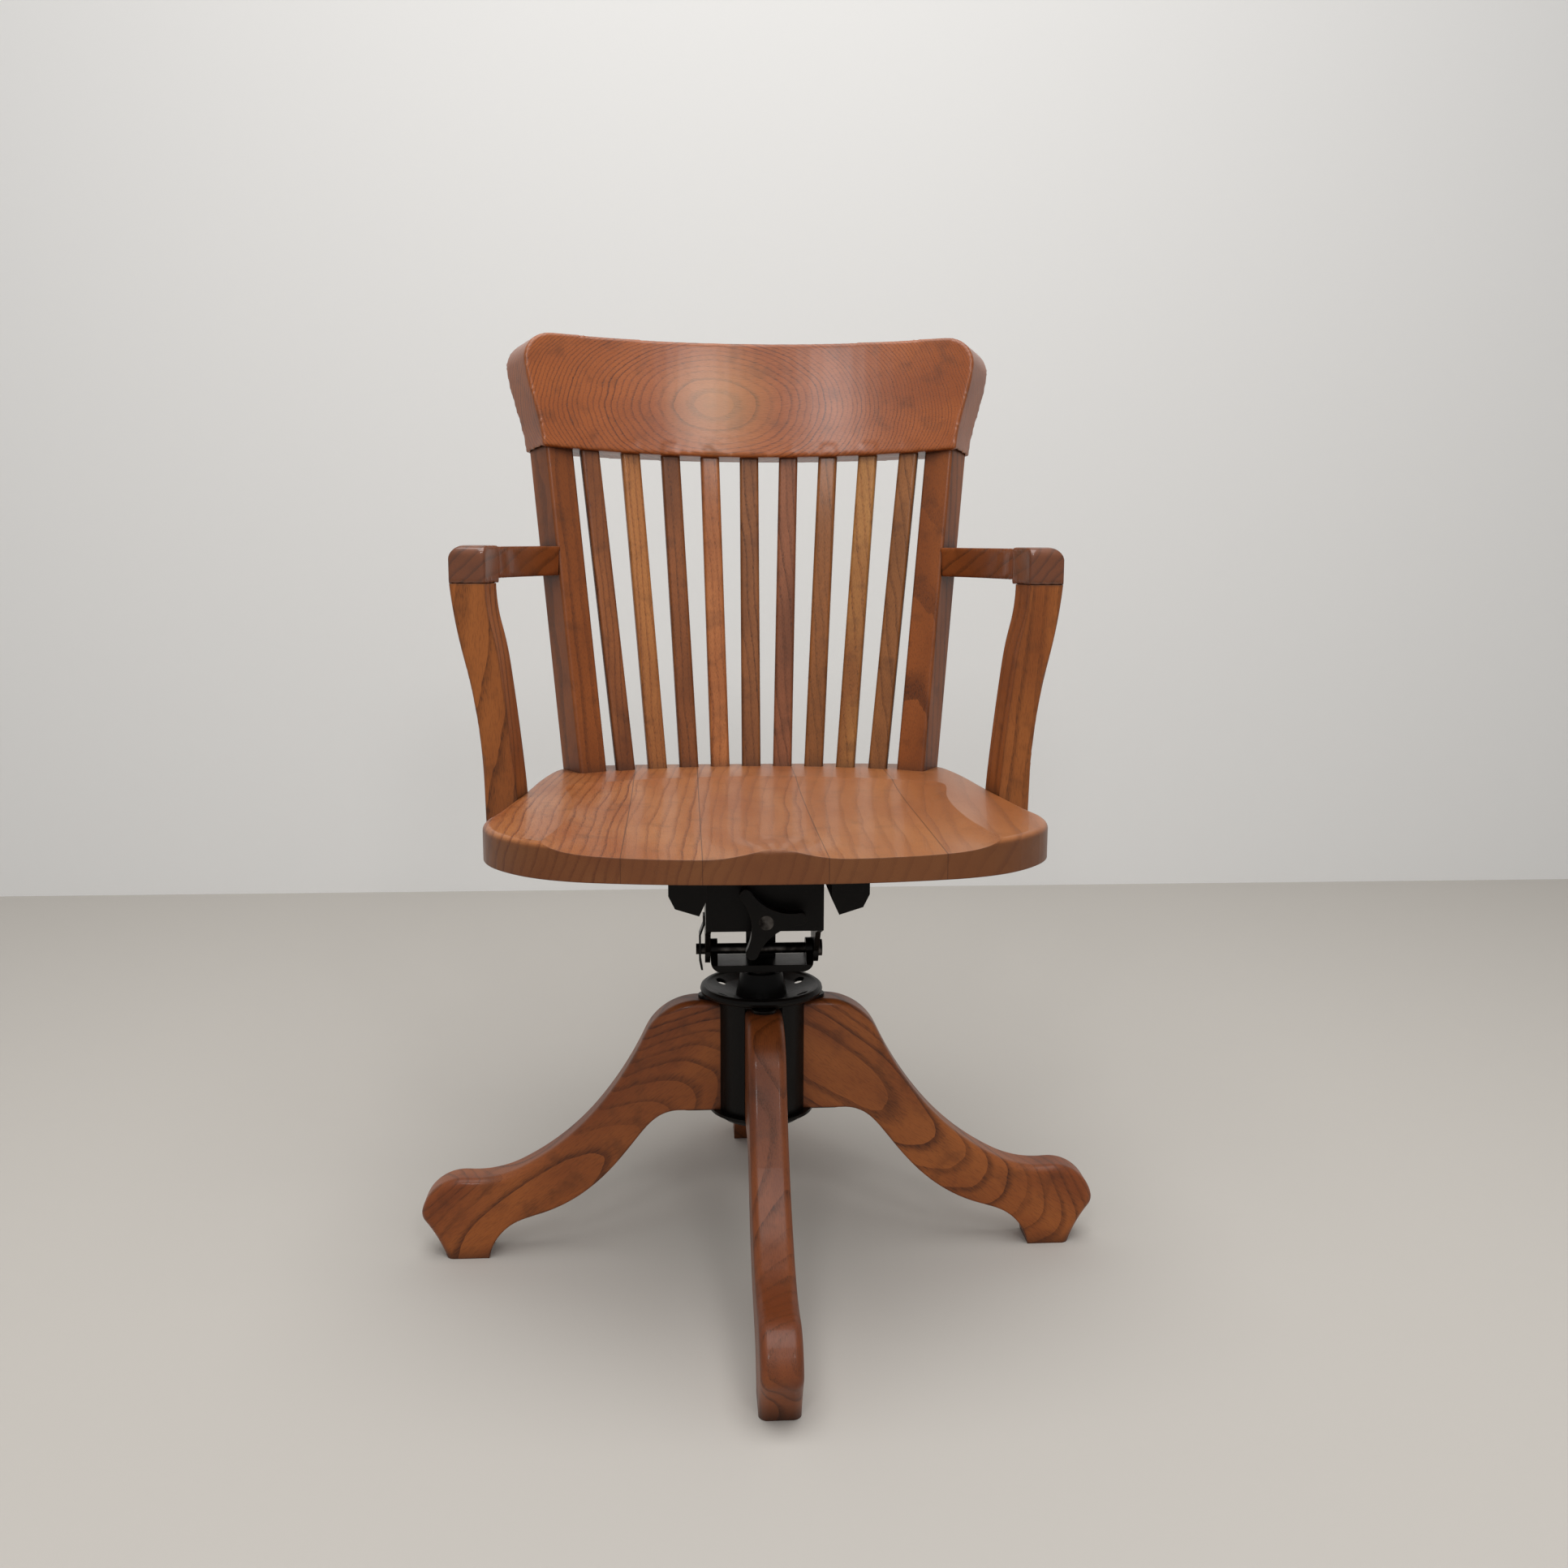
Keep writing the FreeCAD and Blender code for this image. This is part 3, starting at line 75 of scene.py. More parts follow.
def new_finish(name, **constants):
    """A material with one Principled shader, whose sockets get these constants."""
    material = bpy.data.materials.new(name)
    material.use_nodes = True
    tree = material.node_tree
    tree.nodes.clear()
    surface = add(tree, "ShaderNodeBsdfPrincipled")
    add(tree, "ShaderNodeOutputMaterial", {"Surface": surface.outputs["BSDF"]})
    for socket, value in constants.items():
        surface.inputs[socket.replace("_", " ")].default_value = value
    return material, tree, surface


def lay_over(tree, surface, factor, tint, strength=1):
    """Lays a colour over the finish, as far as the factor and the strength say."""
    under = surface.inputs["Base Color"].links[0].from_socket
    share = add(tree, "ShaderNodeMath", {0: factor, 1: strength}, operation="MULTIPLY").outputs[0]
    mixed = add(tree, "ShaderNodeMix", {0: share, 6: under, 7: colour(tint)}, data_type="RGBA").outputs[2]
    tree.links.new(mixed, surface.inputs["Base Color"])


def arris(tree, radius):
    """1 on an edge that is at most the radius away, 0 on a flat face."""
    rounded = add(tree, "ShaderNodeBevel", {"Radius": radius}, samples=4).outputs["Normal"]
    flat = add(tree, "ShaderNodeNewGeometry").outputs["Normal"]
    along = add(tree, "ShaderNodeVectorMath", {0: rounded, 1: flat}, operation="DOT_PRODUCT").outputs["Value"]
    return add(tree, "ShaderNodeMapRange", {"Value": along, "From Min": 0.995, "From Max": 0.8,
                                            "To Min": 0, "To Max": 1}).outputs[0]


def oak(name, lay, rings, bulge=(0, 0, 0), centre=(0, 0, 0), wood="#9a5a2c", line="#5f3114", stain="#7c3d1b",
        gloss=0.34, edge="#3a1f10", edge_strength=0.5):
    """Oak under old varnish. lay turns the length of the grain onto X, rings is how many year rings a metre
    crosses along, across and through the board, and bulge makes them close in ovals round the centre."""
    # Old varnish is scratched and dusty and shines less than its IOR gives, under a thin gleam where it is whole
    material, tree, surface = new_finish(name, IOR=1.5, Specular_IOR_Level=0.3, Coat_Weight=0.12,
                                         Coat_Roughness=0.12)
    place = add(tree, "ShaderNodeTexCoord").outputs["Object"]
    board = add(tree, "ShaderNodeMapping", {"Vector": place, "Location": centre, "Rotation": lay},
                vector_type="TEXTURE").outputs["Vector"]
    # The trunk swelled and wandered, which moves the rings by up to 9 mm, in waves about 60 mm long across the
    # grain and 180 mm along it; a finer waver, under 1 mm every 7 mm, roughens each line
    drawn = add(tree, "ShaderNodeVectorMath", {0: board, 1: (0.35, 1, 1)}, operation="MULTIPLY").outputs[0]
    drift = add(tree, "ShaderNodeTexNoise", {"Vector": drawn, "Scale": 16, "Detail": 2}).outputs["Color"]
    drift = add(tree, "ShaderNodeVectorMath", {0: drift, 1: (0.5, 0.5, 0.5)}, operation="SUBTRACT").outputs[0]
    bent = add(tree, "ShaderNodeVectorMath", {0: drift, 1: (0.018, 0.018, 0.018), 2: board},
               operation="MULTIPLY_ADD").outputs[0]
    waver = add(tree, "ShaderNodeTexNoise", {"Vector": drawn, "Scale": 150, "Detail": 2}).outputs["Color"]
    bent = add(tree, "ShaderNodeVectorMath", {0: waver, 1: (0.0016, 0.0016, 0.0016), 2: bent},
               operation="MULTIPLY_ADD").outputs[0]
    straight = add(tree, "ShaderNodeVectorMath", {0: bent, 1: rings}, operation="DOT_PRODUCT").outputs["Value"]
    oval = add(tree, "ShaderNodeVectorMath", {0: bent, 1: bulge}, operation="MULTIPLY").outputs[0]
    oval = add(tree, "ShaderNodeVectorMath", {0: oval, 1: oval}, operation="DOT_PRODUCT").outputs["Value"]
    years = add(tree, "ShaderNodeMath", {0: straight, 1: oval}, operation="ADD").outputs[0]
    year = add(tree, "ShaderNodeMath", {0: years}, operation="FRACT").outputs[0]
    # Each year starts with a row of open pores, then turns to dense wood
    early = add(tree, "ShaderNodeMapRange", {"Value": year, "From Min": 0.02, "From Max": 0.45, "To Min": 1,
                                             "To Max": 0}, interpolation_type="SMOOTHSTEP").outputs[0]
    # No two years are equally wide or dark
    vintage = add(tree, "ShaderNodeTexNoise", {"W": years, "Scale": 1.7, "Detail": 0},
                  noise_dimensions="1D").outputs["Fac"]
    early = add(tree, "ShaderNodeMath", {0: early, 1: vintage}, operation="MULTIPLY").outputs[0]
    # Pores are about 0.3 mm wide and 4 mm long; they are drawn 0.7 mm wide and 7 mm long, so that they show
    stretch = add(tree, "ShaderNodeVectorMath", {0: board, 1: (150, 1400, 1400)}, operation="MULTIPLY").outputs[0]
    pores = add(tree, "ShaderNodeTexNoise", {"Vector": stretch, "Scale": 1, "Detail": 1}).outputs["Fac"]
    pores = add(tree, "ShaderNodeMapRange", {"Value": pores, "From Min": 0.5, "From Max": 0.66}).outputs[0]
    open_wood = add(tree, "ShaderNodeMapRange", {"Value": early, "To Min": 0.35, "To Max": 1.3}).outputs[0]
    pores = add(tree, "ShaderNodeMath", {0: pores, 1: open_wood}, operation="MULTIPLY").outputs[0]
    # Stain took unevenly, in clouds about 60 mm across and 170 mm along the grain
    cloud = add(tree, "ShaderNodeVectorMath", {0: board, 1: (6, 17, 17)}, operation="MULTIPLY").outputs[0]
    cloud = add(tree, "ShaderNodeTexNoise", {"Vector": cloud, "Scale": 1, "Detail": 4}).outputs["Fac"]
    taken = add(tree, "ShaderNodeMapRange", {"Value": cloud, "From Min": 0.36, "From Max": 0.66}).outputs[0]
    plain = add(tree, "ShaderNodeMix", {0: taken, 6: colour(wood), 7: colour(stain)}, data_type="RGBA").outputs[2]
    tree.links.new(plain, surface.inputs["Base Color"])
    lay_over(tree, surface, early, line, 1.25)
    lay_over(tree, surface, pores, "#331a0c", 0.65)
    # Painted shade in the corners, where little light reaches, and hands, shoes and mops on the arrises
    corner = add(tree, "ShaderNodeAmbientOcclusion", {"Distance": 0.025}, samples=6).outputs["AO"]
    corner_shade = add(tree, "ShaderNodeMapRange", {"Value": corner, "From Min": 0.35, "From Max": 0.85, "To Min": 0.8,
                                             "To Max": 0}).outputs[0]
    lay_over(tree, surface, corner_shade, "#1f0f07")
    smut = add(tree, "ShaderNodeTexNoise", {"Vector": place, "Scale": 45, "Detail": 6}).outputs["Fac"]
    worn = add(tree, "ShaderNodeMath", {0: arris(tree, 0.004), 1: smut}, operation="MULTIPLY").outputs[0]
    lay_over(tree, surface, worn, edge, 2 * edge_strength)
    smut = add(tree, "ShaderNodeMapRange", {"Value": smut, "From Min": 0.55, "From Max": 0.8}).outputs[0]
    lay_over(tree, surface, smut, "#3f2210", 0.5)
    # Varnish sinks into the pores and has worn dull in places
    height = add(tree, "ShaderNodeMath", {0: pores, 1: -1}, operation="MULTIPLY").outputs[0]
    soft = add(tree, "ShaderNodeBevel", {"Radius": 0.0015}, samples=4).outputs["Normal"]
    dents = add(tree, "ShaderNodeBump", {"Height": height, "Normal": soft, "Strength": 0.3, "Distance": 0.0004})
    tree.links.new(dents.outputs["Normal"], surface.inputs["Normal"])
    dull = add(tree, "ShaderNodeMapRange", {"Value": cloud, "To Min": gloss, "To Max": gloss + 0.18}).outputs[0]
    tree.links.new(dull, surface.inputs["Roughness"])
    return material, tree, surface, place


def wear(name, material):
    """Gives a node its finish."""
    mesh = nodes[name].data
    mesh.materials.clear()
    mesh.materials.append(material)


# The grain runs down to the foot at this angle
DOWNHILL = math.radians(38)
for name, quarter, start, wood, stain in (("leg_right", 0, (0.13, 0.03, 0.20), "#a25b28", "#814019"),
                                          ("leg_rear", 90, (0.17, 0.01, 0.16), "#a25b28", "#814019"),
                                          ("leg_left", 180, (0.30, -0.03, 0.05), "#9c5625", "#7c3d18"),
                                          ("leg_front", 270, (0.10, 0.02, 0.22), "#884820", "#6a3417")):
    turn = Matrix.Rotation(math.radians(quarter), 3, "Z")
    lay = (turn @ Matrix.Rotation(DOWNHILL, 3, "Y")).to_euler()
    wear(name, oak("oak_" + name, lay, rings=(8, 40, 70), bulge=(9, 0, 30), centre=turn @ Vector(start),
                   wood=wood, line="#633112", stain=stain, edge_strength=0.7)[0])

# Hub and star plate
# Cast iron drum with a channel for each leg, dipped in black japan and stoved, and a pressed plate below that
# is screwed to the legs. Black japan is a tar varnish: deep black with a soft shine, brown where it is thin.


def japanned_iron():
    """Black with a faint brown glow, and a low, broad shine that only rims and edges catch."""
    # Dust and old soot in the varnish keep its shine far below that of fresh japan
    material, tree, surface = new_finish("black_japanned_iron", IOR=1.55, Specular_IOR_Level=0.12)
    place = add(tree, "ShaderNodeTexCoord").outputs["Object"]
    # Sand casting leaves a skin of lumps 2 to 3 mm across, which the varnish rounds off
    skin = add(tree, "ShaderNodeTexNoise", {"Vector": place, "Scale": 380, "Detail": 3}).outputs["Fac"]
    dust = add(tree, "ShaderNodeTexNoise", {"Vector": place, "Scale": 30, "Detail": 5}).outputs["Fac"]
    base = add(tree, "ShaderNodeMix", {0: dust, 6: colour("#050404"), 7: colour("#100c09")}, data_type="RGBA")
    tree.links.new(base.outputs[2], surface.inputs["Base Color"])
    worn = add(tree, "ShaderNodeMath", {0: arris(tree, 0.0012), 1: dust}, operation="MULTIPLY").outputs[0]
    lay_over(tree, surface, worn, "#2c251e", 0.8)
    soft = add(tree, "ShaderNodeBevel", {"Radius": 0.0008}, samples=4).outputs["Normal"]
    bumps = add(tree, "ShaderNodeBump", {"Height": skin, "Normal": soft, "Strength": 0.35, "Distance": 0.0004})
    tree.links.new(bumps.outputs["Normal"], surface.inputs["Normal"])
    dull = add(tree, "ShaderNodeMapRange", {"Value": dust, "To Min": 0.2, "To Max": 0.5}).outputs[0]
    tree.links.new(dull, surface.inputs["Roughness"])
    return material


black_iron = japanned_iron()
for name in ("hub_body", "star_plate", "height_wheel", "yoke", "tilt_frame", "axle_keeper", "seat_bearer_left",
             "seat_bearer_right", "tension_knob", "spring_cup"):
    wear(name, black_iron)

# Steel and bronze of the mechanism
# Turned steel shafts and screws that carry and hold the iron, and a bush and a washer of bronze for the tube that
# turns in the hub. Old grease has kept the steel nearly black and the bronze dull.


def greased_metal(name, bare, film, roughness):
    """Metal that glints through a film of old grease where hands and cloths have thinned it."""
    material, tree, surface = new_finish(name, Metallic=1)
    place = add(tree, "ShaderNodeTexCoord").outputs["Object"]
    smear = add(tree, "ShaderNodeTexNoise", {"Vector": place, "Scale": 90, "Detail": 5}).outputs["Fac"]
    cover = add(tree, "ShaderNodeMapRange", {"Value": smear, "From Min": 0.35, "From Max": 0.6}).outputs[0]
    metal = add(tree, "ShaderNodeMix", {0: cover, 6: colour(bare), 7: colour(film)}, data_type="RGBA").outputs[2]
    tree.links.new(metal, surface.inputs["Base Color"])
    dull = add(tree, "ShaderNodeMapRange", {"Value": smear, "To Min": roughness, "To Max": roughness + 0.3})
    tree.links.new(dull.outputs[0], surface.inputs["Roughness"])
    return material


dark_steel = greased_metal("greased_steel", "#56524f", "#1d1a19", 0.25)
for name in ("ear_screws", "strap_screws", "swivel_tube", "tube_collar", "spindle_screw", "tilt_axle",
             "frame_bolts", "bearer_screws", "tension_screw", "arm_post_screws"):
    wear(name, dark_steel)
bronze = greased_metal("greased_bronze", "#8a6434", "#3d2c1b", 0.35)
for name in ("hub_bush", "thrust_washer"):
    wear(name, bronze)

# Spring
# Five turns of round steel wire, wound cold, with both ends closed up. It stands loose between the cup and the
# upright. In the chair the turns at the cup give way as the knob is tightened, and the others as the seat leans
# back. Here the turns at the cup are carried by the cup and the others by the upright, each kept at its length.

SPRING_RADIUS, WIRE, TURNS, CLOSED, STEPS = 0.0165, 0.005, 5, 0.75, 36
SPRING_FRONT, SPRING_MIDDLE, SPRING_BACK, SPRING_HEIGHT = -0.0447, -0.0270, 0.0097, 0.367
# Shares of their length that the turns keep: the cup comes 10 mm nearer, and the upright up to 19 mm at the top
CUP_TURNS_KEEP, BACK_TURNS_KEEP = 0.43, 0.48
open_pitch = (SPRING_BACK - SPRING_FRONT - WIRE - 2 * CLOSED * WIRE) / (TURNS - 2 * CLOSED)
turns = []
for i in range(TURNS * STEPS + 1):
    turned = i / STEPS
    ahead = SPRING_FRONT + WIRE / 2 + WIRE * min(turned, CLOSED) + WIRE * max(turned - TURNS + CLOSED, 0)
    ahead += open_pitch * min(max(turned - CLOSED, 0), TURNS - 2 * CLOSED)
    angle = 2 * math.pi * turned
    turns.append((SPRING_RADIUS * math.cos(angle), ahead, SPRING_HEIGHT + SPRING_RADIUS * math.sin(angle), 1))
meeting = next(i for i, spot in enumerate(turns) if spot[1] > SPRING_MIDDLE)
for name, part, body, joint, anchor, keep in (
        ("spring_cup_turns", turns[:meeting + 1], "cup", "cup_travel", SPRING_FRONT, CUP_TURNS_KEEP),
        ("spring_back_turns", turns[meeting:], "upper", "tilt", SPRING_MIDDLE, BACK_TURNS_KEEP)):
    coil = bpy.data.curves.new(name, "CURVE")
    coil.dimensions = "3D"
    coil.bevel_depth, coil.bevel_resolution, coil.use_fill_caps = WIRE / 2, 4, True
    wire = coil.splines.new("POLY")
    wire.points.add(len(part) - 1)
    for point, place in zip(wire.points, part):
        point.co = place
    wound = bpy.data.objects.new(name, coil)
    spring = bpy.data.objects.new(name, bpy.data.meshes.new_from_object(wound))
    bpy.context.scene.collection.objects.link(spring)
    spring.data.shade_smooth()
    spring.data.materials.clear()
    spring.data.materials.append(dark_steel)
    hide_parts("tension_spring")
    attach(spring, body)
    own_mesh(spring)

# Rubber stop
# A pad moulded of hard rubber and held by the rear plate, where the upright rests against it. It is matt, and grey
# with age.

rubber, tree, surface = new_finish("vulcanised_rubber", Roughness=0.75)
surface.inputs["Base Color"].default_value = colour("#191715")
wear("tilt_stop", rubber)

# Seat
# Five oak boards, 70 to 130 mm wide, glued edge to edge with their grain from front to back, and saddled: the
# hollow is worked down 11 mm. The top has a warm, rubbed shine. The sawn edge and the underside are painted
# darker, as shade from the light above.

SEAMS, SEAM_WIDTH = (-0.131, -0.062, 0.045, 0.148), 0.0005
material, tree, surface, place = oak("oak_seat", (0, 0, math.pi / 2), rings=(4, 75, 30), bulge=(3, 9, 0),
                                     centre=(0.03, -0.05, 0.45), wood="#a5683a", line="#7d421d", stain="#8f4f27",
                                     gloss=0.3, edge="#5a3018", edge_strength=0.3)
across = add(tree, "ShaderNodeSeparateXYZ", {0: place}).outputs["X"]
for k, seam in enumerate(SEAMS):
    beyond = add(tree, "ShaderNodeMath", {0: across, 1: seam}, operation="GREATER_THAN").outputs[0]
    lay_over(tree, surface, beyond, ("#a9703f", "#7d4524")[k % 2], 0.16)
    glued = add(tree, "ShaderNodeMath", {0: across, 1: seam, 2: SEAM_WIDTH}, operation="COMPARE").outputs[0]
    lay_over(tree, surface, glued, "#2c160a", 0.6)
# Painted shade: the sawn edge all round and the underside, which turn away from the light above, are painted
# darker than the top
facing = add(tree, "ShaderNodeNewGeometry").outputs["Normal"]
facing = add(tree, "ShaderNodeSeparateXYZ", {0: facing}).outputs["Z"]
painted_edge_shade = add(tree, "ShaderNodeMapRange", {"Value": facing, "From Min": 0.25, "From Max": 0.75, "To Min": 1,
                                             "To Max": 0}).outputs[0]
lay_over(tree, surface, painted_edge_shade, "#542c12", 0.65)
wear("seat", material)

# Back posts and slats
# Straight bars of oak let into the seat and the crest rail. They were cut from different boards, so that each has
# its own tone, from honey to a dark red brown.

UPRIGHT = (0, math.pi / 2, 0)
for side, seed in (("left", 0.3), ("right", 0.7)):
    wear("back_post_" + side, oak("oak_back_post_" + side, UPRIGHT, rings=(6, 60, 45), centre=(seed, 0.1, 0.6),
                                  wood="#8d4d20", line="#5e2f10", stain="#783e15")[0])
SLAT_TONES = (("#8d532a", "#653516"), ("#a96d38", "#834b22"), ("#935426", "#683814"), ("#ad6a38", "#86481f"),
              ("#91582c", "#6a3c1a"), ("#885030", "#60341a"), ("#935828", "#6d4016"), ("#a8733a", "#855022"),
              ("#8d582c", "#653a16"))
for k, (wood, line) in enumerate(SLAT_TONES, start=1):
    wear(f"slat_{k}", oak(f"oak_slat_{k}", UPRIGHT, rings=(5, 70, 120), centre=(0.37 * k, 0.2 * k, 0.5),
                          wood=wood, line=line, stain=line)[0])

# Crest rail
# One wide slab of oak, sawn hollow in front and round behind. The saw met the rings flat on, so they close in
# ovals in the middle of the front and stand on end at the ears, where the arris is rubbed pale.

GRAIN_EYE = (-0.035, 0.30, 0.880)
material, tree, surface, place = oak("oak_crest", (0, 0, 0), rings=(0, 30, 0), bulge=(25, 0, 42), centre=GRAIN_EYE,
                                     wood="#a05624", line="#6c3412", stain="#8a4518", edge="#b9824e",
                                     edge_strength=0.35, gloss=0.26)
spread = add(tree, "ShaderNodeVectorMath", {0: place, 1: GRAIN_EYE}, operation="DISTANCE")
heart = add(tree, "ShaderNodeMapRange", {"Value": spread.outputs["Value"], "From Min": 0.015, "From Max": 0.075,
                                         "To Min": 1, "To Max": 0}).outputs[0]
lay_over(tree, surface, heart, "#b5834b", 0.45)
# The back gets the most polish, which mirrors the windows as two soft patches
surface.inputs["Coat Weight"].default_value = 0.45
surface.inputs["Coat Roughness"].default_value = 0.22

# Both faces are arcs, drawn upright and then leaned back by 10 degrees; the underside is square to them
SLAB_HEIGHT, SLAB_LEAN = 0.8743, 0.1767
FRONT_MIDDLE, FRONT_RADIUS = 0.2978, 0.5487
BACK_MIDDLE, BACK_RADIUS = 0.3282, 0.8390
UNDERSIDE_MIDDLE, UNDERSIDE = 0.301, 0.8166


def slab_face(x, z, middle, radius):
    """How far back the hollow front or the round back of the slab is, at this place."""
    return middle + SLAB_LEAN * (z - SLAB_HEIGHT) - radius + math.sqrt(radius * radius - x * x)


def rub_down(piece, voxel, passes):
    """Gives a piece one skin and rounds its edges, as rasp, scraper and years of hands do."""
    skin = piece.modifiers.new("skin", "REMESH")
    skin.mode, skin.voxel_size = "VOXEL", voxel
    rubbed = piece.modifiers.new("rubbed", "SMOOTH")
    rubbed.factor, rubbed.iterations = 0.5, passes
    bpy.context.scene.collection.objects.link(piece)
    worn = bpy.data.meshes.new_from_object(piece.evaluated_get(bpy.context.evaluated_depsgraph_get()))
    piece.modifiers.clear()
    piece.data = worn
    worn.materials.clear()
    worn.shade_smooth()
    return piece


slab = bmesh.new()
slab.from_mesh(nodes["crest_rail"].data)
# A strip closes the front of the mortises, so that posts and slats go up into the underside
CLOSED_HALF, CLOSED_HEIGHT, CLOSED_DEPTH, COLUMNS = 0.2285, 0.032, 0.016, 90
SET_IN, SET_UP = 0.0002, 0.0003
rows = []
for i in range(COLUMNS + 1):
    x = CLOSED_HALF * (2 * i / COLUMNS - 1)
    corners = []
    for rise, depth in ((SET_UP, SET_IN), (CLOSED_HEIGHT, SET_IN), (CLOSED_HEIGHT, CLOSED_DEPTH),
                        (SET_UP, CLOSED_DEPTH)):
        z = UNDERSIDE
        # Face and underside depend on each other, and three rounds bring the corner onto both
        for settle in range(3):
            y = slab_face(x, z, FRONT_MIDDLE, FRONT_RADIUS) + depth
            z = UNDERSIDE - SLAB_LEAN * (y - UNDERSIDE_MIDDLE) + rise
        corners.append(slab.verts.new((x, y, z)))
    rows.append(corners)
for near, far in zip(rows, rows[1:]):
    for k in range(4):
        slab.faces.new((near[k], near[(k + 1) % 4], far[(k + 1) % 4], far[k]))
slab.faces.new(rows[0][::-1])
slab.faces.new(rows[-1])
crest = bpy.data.objects.new("crest_slab", bpy.data.meshes.new("crest_slab"))
slab.to_mesh(crest.data)
slab.free()
crest = rub_down(crest, voxel=0.0018, passes=8)
# The slab is 8 mm thicker in front than its solid, so that slats and posts go up into it
THICKER = 0.008
for vertex in crest.data.vertices:
    x, y, z = vertex.co
    back = slab_face(x, z, BACK_MIDDLE, BACK_RADIUS)
    share = (back - y) / (back - slab_face(x, z, FRONT_MIDDLE, FRONT_RADIUS))
    vertex.co.y -= THICKER * min(max(share, 0), 1)
crest.data.materials.append(material)
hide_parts("crest_rail")
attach(crest, "upper")

# Arms
# S-shaped posts that are screwed to the sides of the seat, and curved rails with a knuckle that palms have worn
# smooth, dark and shiny.

# Palms have rounded the knuckle's outer, front and upright corners to these radii
OUTER_ROUND, FRONT_ROUND, UPRIGHT_ROUND = 0.017, 0.012, 0.012

for side, seed in (("left", 0.2), ("right", 0.8)):
    wear("arm_post_" + side, oak("oak_arm_post_" + side, UPRIGHT, rings=(6, 70, 50), centre=(seed, 0.3, 0.6),
                                 wood="#9c5a28", line="#683612", stain="#84461a")[0])
    material, tree, surface, place = oak("oak_arm_rail_" + side, (0, 0, math.pi / 2), rings=(5, 70, 60),
                                         centre=(seed, 0.1, 0.7), wood="#8c4a20", line="#5e2f10", stain="#743a14")
    forward = add(tree, "ShaderNodeSeparateXYZ", {0: place}).outputs["Y"]
    handled = add(tree, "ShaderNodeMapRange", {"Value": forward, "From Min": 0.09, "From Max": 0.03}).outputs[0]
    lay_over(tree, surface, handled, "#4a2c1d", 0.5)
    surface.inputs["Coat Weight"].default_value = 0.8
    low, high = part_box("arm_rail_" + side)
    outward = -1 if side == "left" else 1
    tip = Vector((low[0] if outward < 0 else high[0], low[1], high[2]))
    rail = rub_down(bpy.data.objects.new("worn_arm_rail_" + side, nodes["arm_rail_" + side].data.copy()),
                    voxel=0.002, passes=5)
    inward = (-outward, 1, -1)
    for vertex in rail.data.vertices:
        for first, second, radius in ((0, 2, OUTER_ROUND), (1, 2, FRONT_ROUND), (0, 1, UPRIGHT_ROUND)):
            deep = [radius - (vertex.co[i] - tip[i]) * inward[i] for i in (first, second)]
            far = math.hypot(*deep)
            if min(deep) > 0 and far > radius:
                for i, d in zip((first, second), deep):
                    vertex.co[i] = tip[i] + inward[i] * (radius - d * radius / far)
    rail.data.materials.append(material)
    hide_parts("arm_rail_" + side)
    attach(rail, "upper")

# Room
# A pale floor, and a pale wall 1.6 m behind the middle of the chair. Both are plain and matt, so that only the
# chair's own shadow shows on them.

ROOM_HALF, WALL_BEHIND = 5, 1.62


def room_surface(name, tint, place, turn):
    """One flat sheet of the room, matt as lime wash and dry concrete are."""
    sheet = bpy.data.objects.new(name, bpy.data.meshes.new(name))
    bpy.context.scene.collection.objects.link(sheet)
    shape = bmesh.new()
    bmesh.ops.create_grid(shape, x_segments=1, y_segments=1, size=ROOM_HALF)
    shape.to_mesh(sheet.data)
    shape.free()
    sheet.location = place
    sheet.rotation_euler = turn
    material, tree, surface = new_finish(name, Roughness=0.8)
    surface.inputs["Base Color"].default_value = colour(tint)
    sheet.data.materials.append(material)


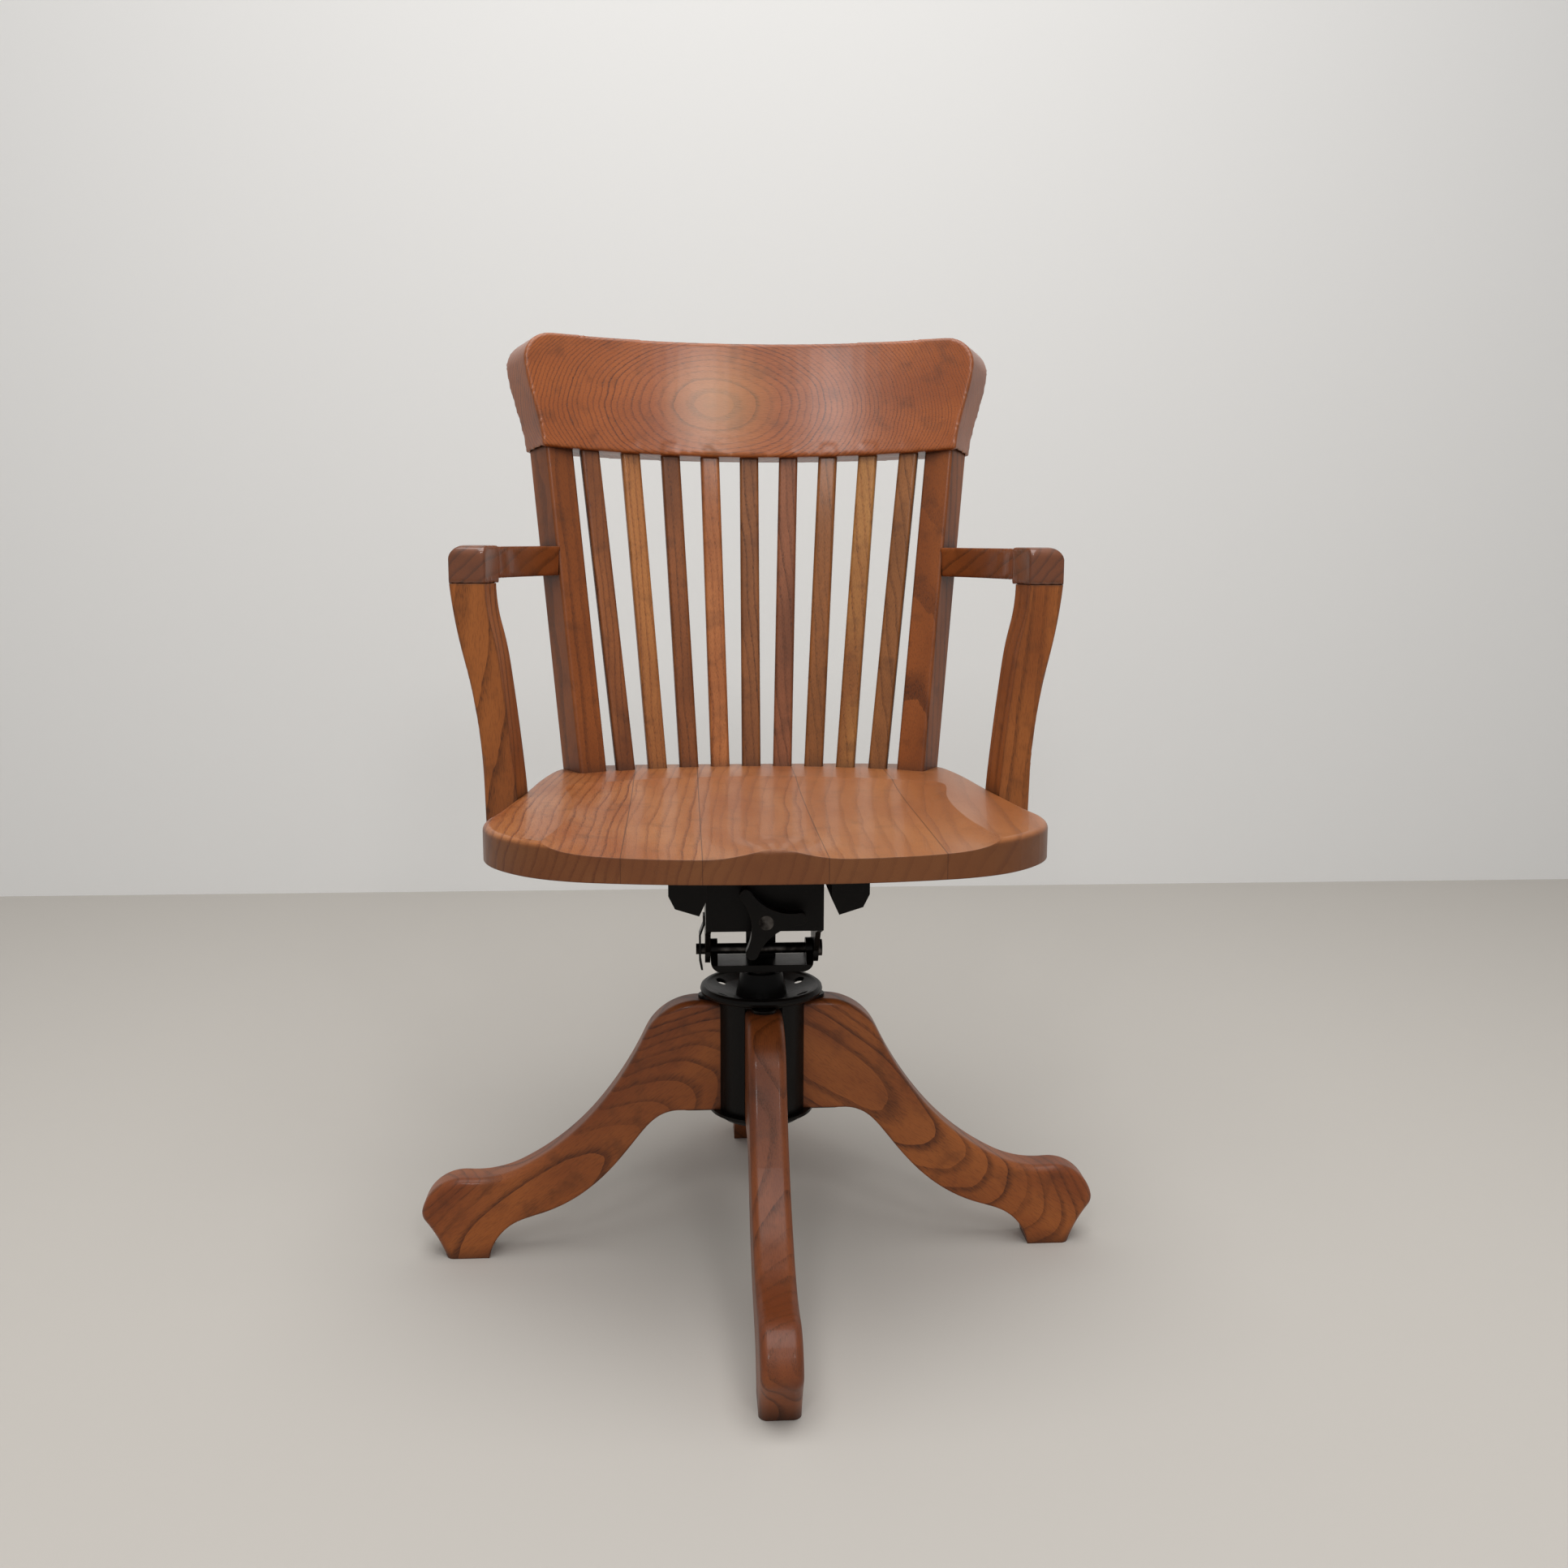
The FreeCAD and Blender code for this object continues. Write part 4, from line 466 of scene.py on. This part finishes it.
room_surface("pale_floor", "#bdb8b1", (0, 0, 0), (0, 0, 0))
room_surface("pale_wall", "#e5e4e2", (0, WALL_BEHIND, 0), (math.pi / 2, 0, 0))

# Light
# A wide soft lamp under the ceiling, two windows in front of the chair, and the glow of the room all round. The
# lamp gives the soft shadow, and the windows give the crest rail its two patches of shine.

world = bpy.data.worlds.new("room")
bpy.context.scene.world = world
world.use_nodes = True
glow = world.node_tree.nodes["Background"].inputs
glow["Color"].default_value = colour("#e6e6e6")
glow["Strength"].default_value = 0.5

LIT = Vector((0, 0, 0.6))
for name, place, size, power in (("ceiling_lamp", (0, -0.6, 3.0), 2.4, 68),
                                 ("left_window", (-0.69, -2.7, 2.28), 0.42, 11),
                                 ("right_window", (0.62, -2.7, 2.28), 0.42, 11)):
    lamp = bpy.data.lights.new(name, "AREA")
    lamp.size = size
    lamp.energy = power
    holder = bpy.data.objects.new(name, lamp)
    bpy.context.scene.collection.objects.link(holder)
    holder.location = place
    holder.rotation_euler = (LIT - Vector(place)).to_track_quat("-Z", "Y").to_euler()

# Camera
# It stands 1.47 m in front of the swivel axis, a little to the left and as high as the arms, and looks down by
# 9 degrees.

PHOTO_WIDTH, FOCAL_PIXELS, SENSOR = 1932, 1846.5, 36
camera = bpy.data.cameras.new("camera")
camera.sensor_width = SENSOR
camera.lens = FOCAL_PIXELS / PHOTO_WIDTH * SENSOR
eye = bpy.data.objects.new("camera", camera)
bpy.context.scene.collection.objects.link(eye)
bpy.context.scene.camera = eye
CHAIR_TURN = math.radians(3.0)
DISTANCE, HEIGHT = 1.4708, 0.7248
DOWN, ASIDE, TILT = math.radians(9.215), 0.0151, math.radians(0.25)
eye.matrix_world = (
    Matrix.Translation((-DISTANCE * math.sin(CHAIR_TURN), -DISTANCE * math.cos(CHAIR_TURN), HEIGHT))
    @ Matrix.Rotation(-CHAIR_TURN - ASIDE, 4, "Z")
    @ Matrix.Rotation(math.pi / 2 - DOWN, 4, "X")
    @ Matrix.Rotation(TILT, 4, "Z"))

bpy.context.scene.view_settings.view_transform = "Standard"
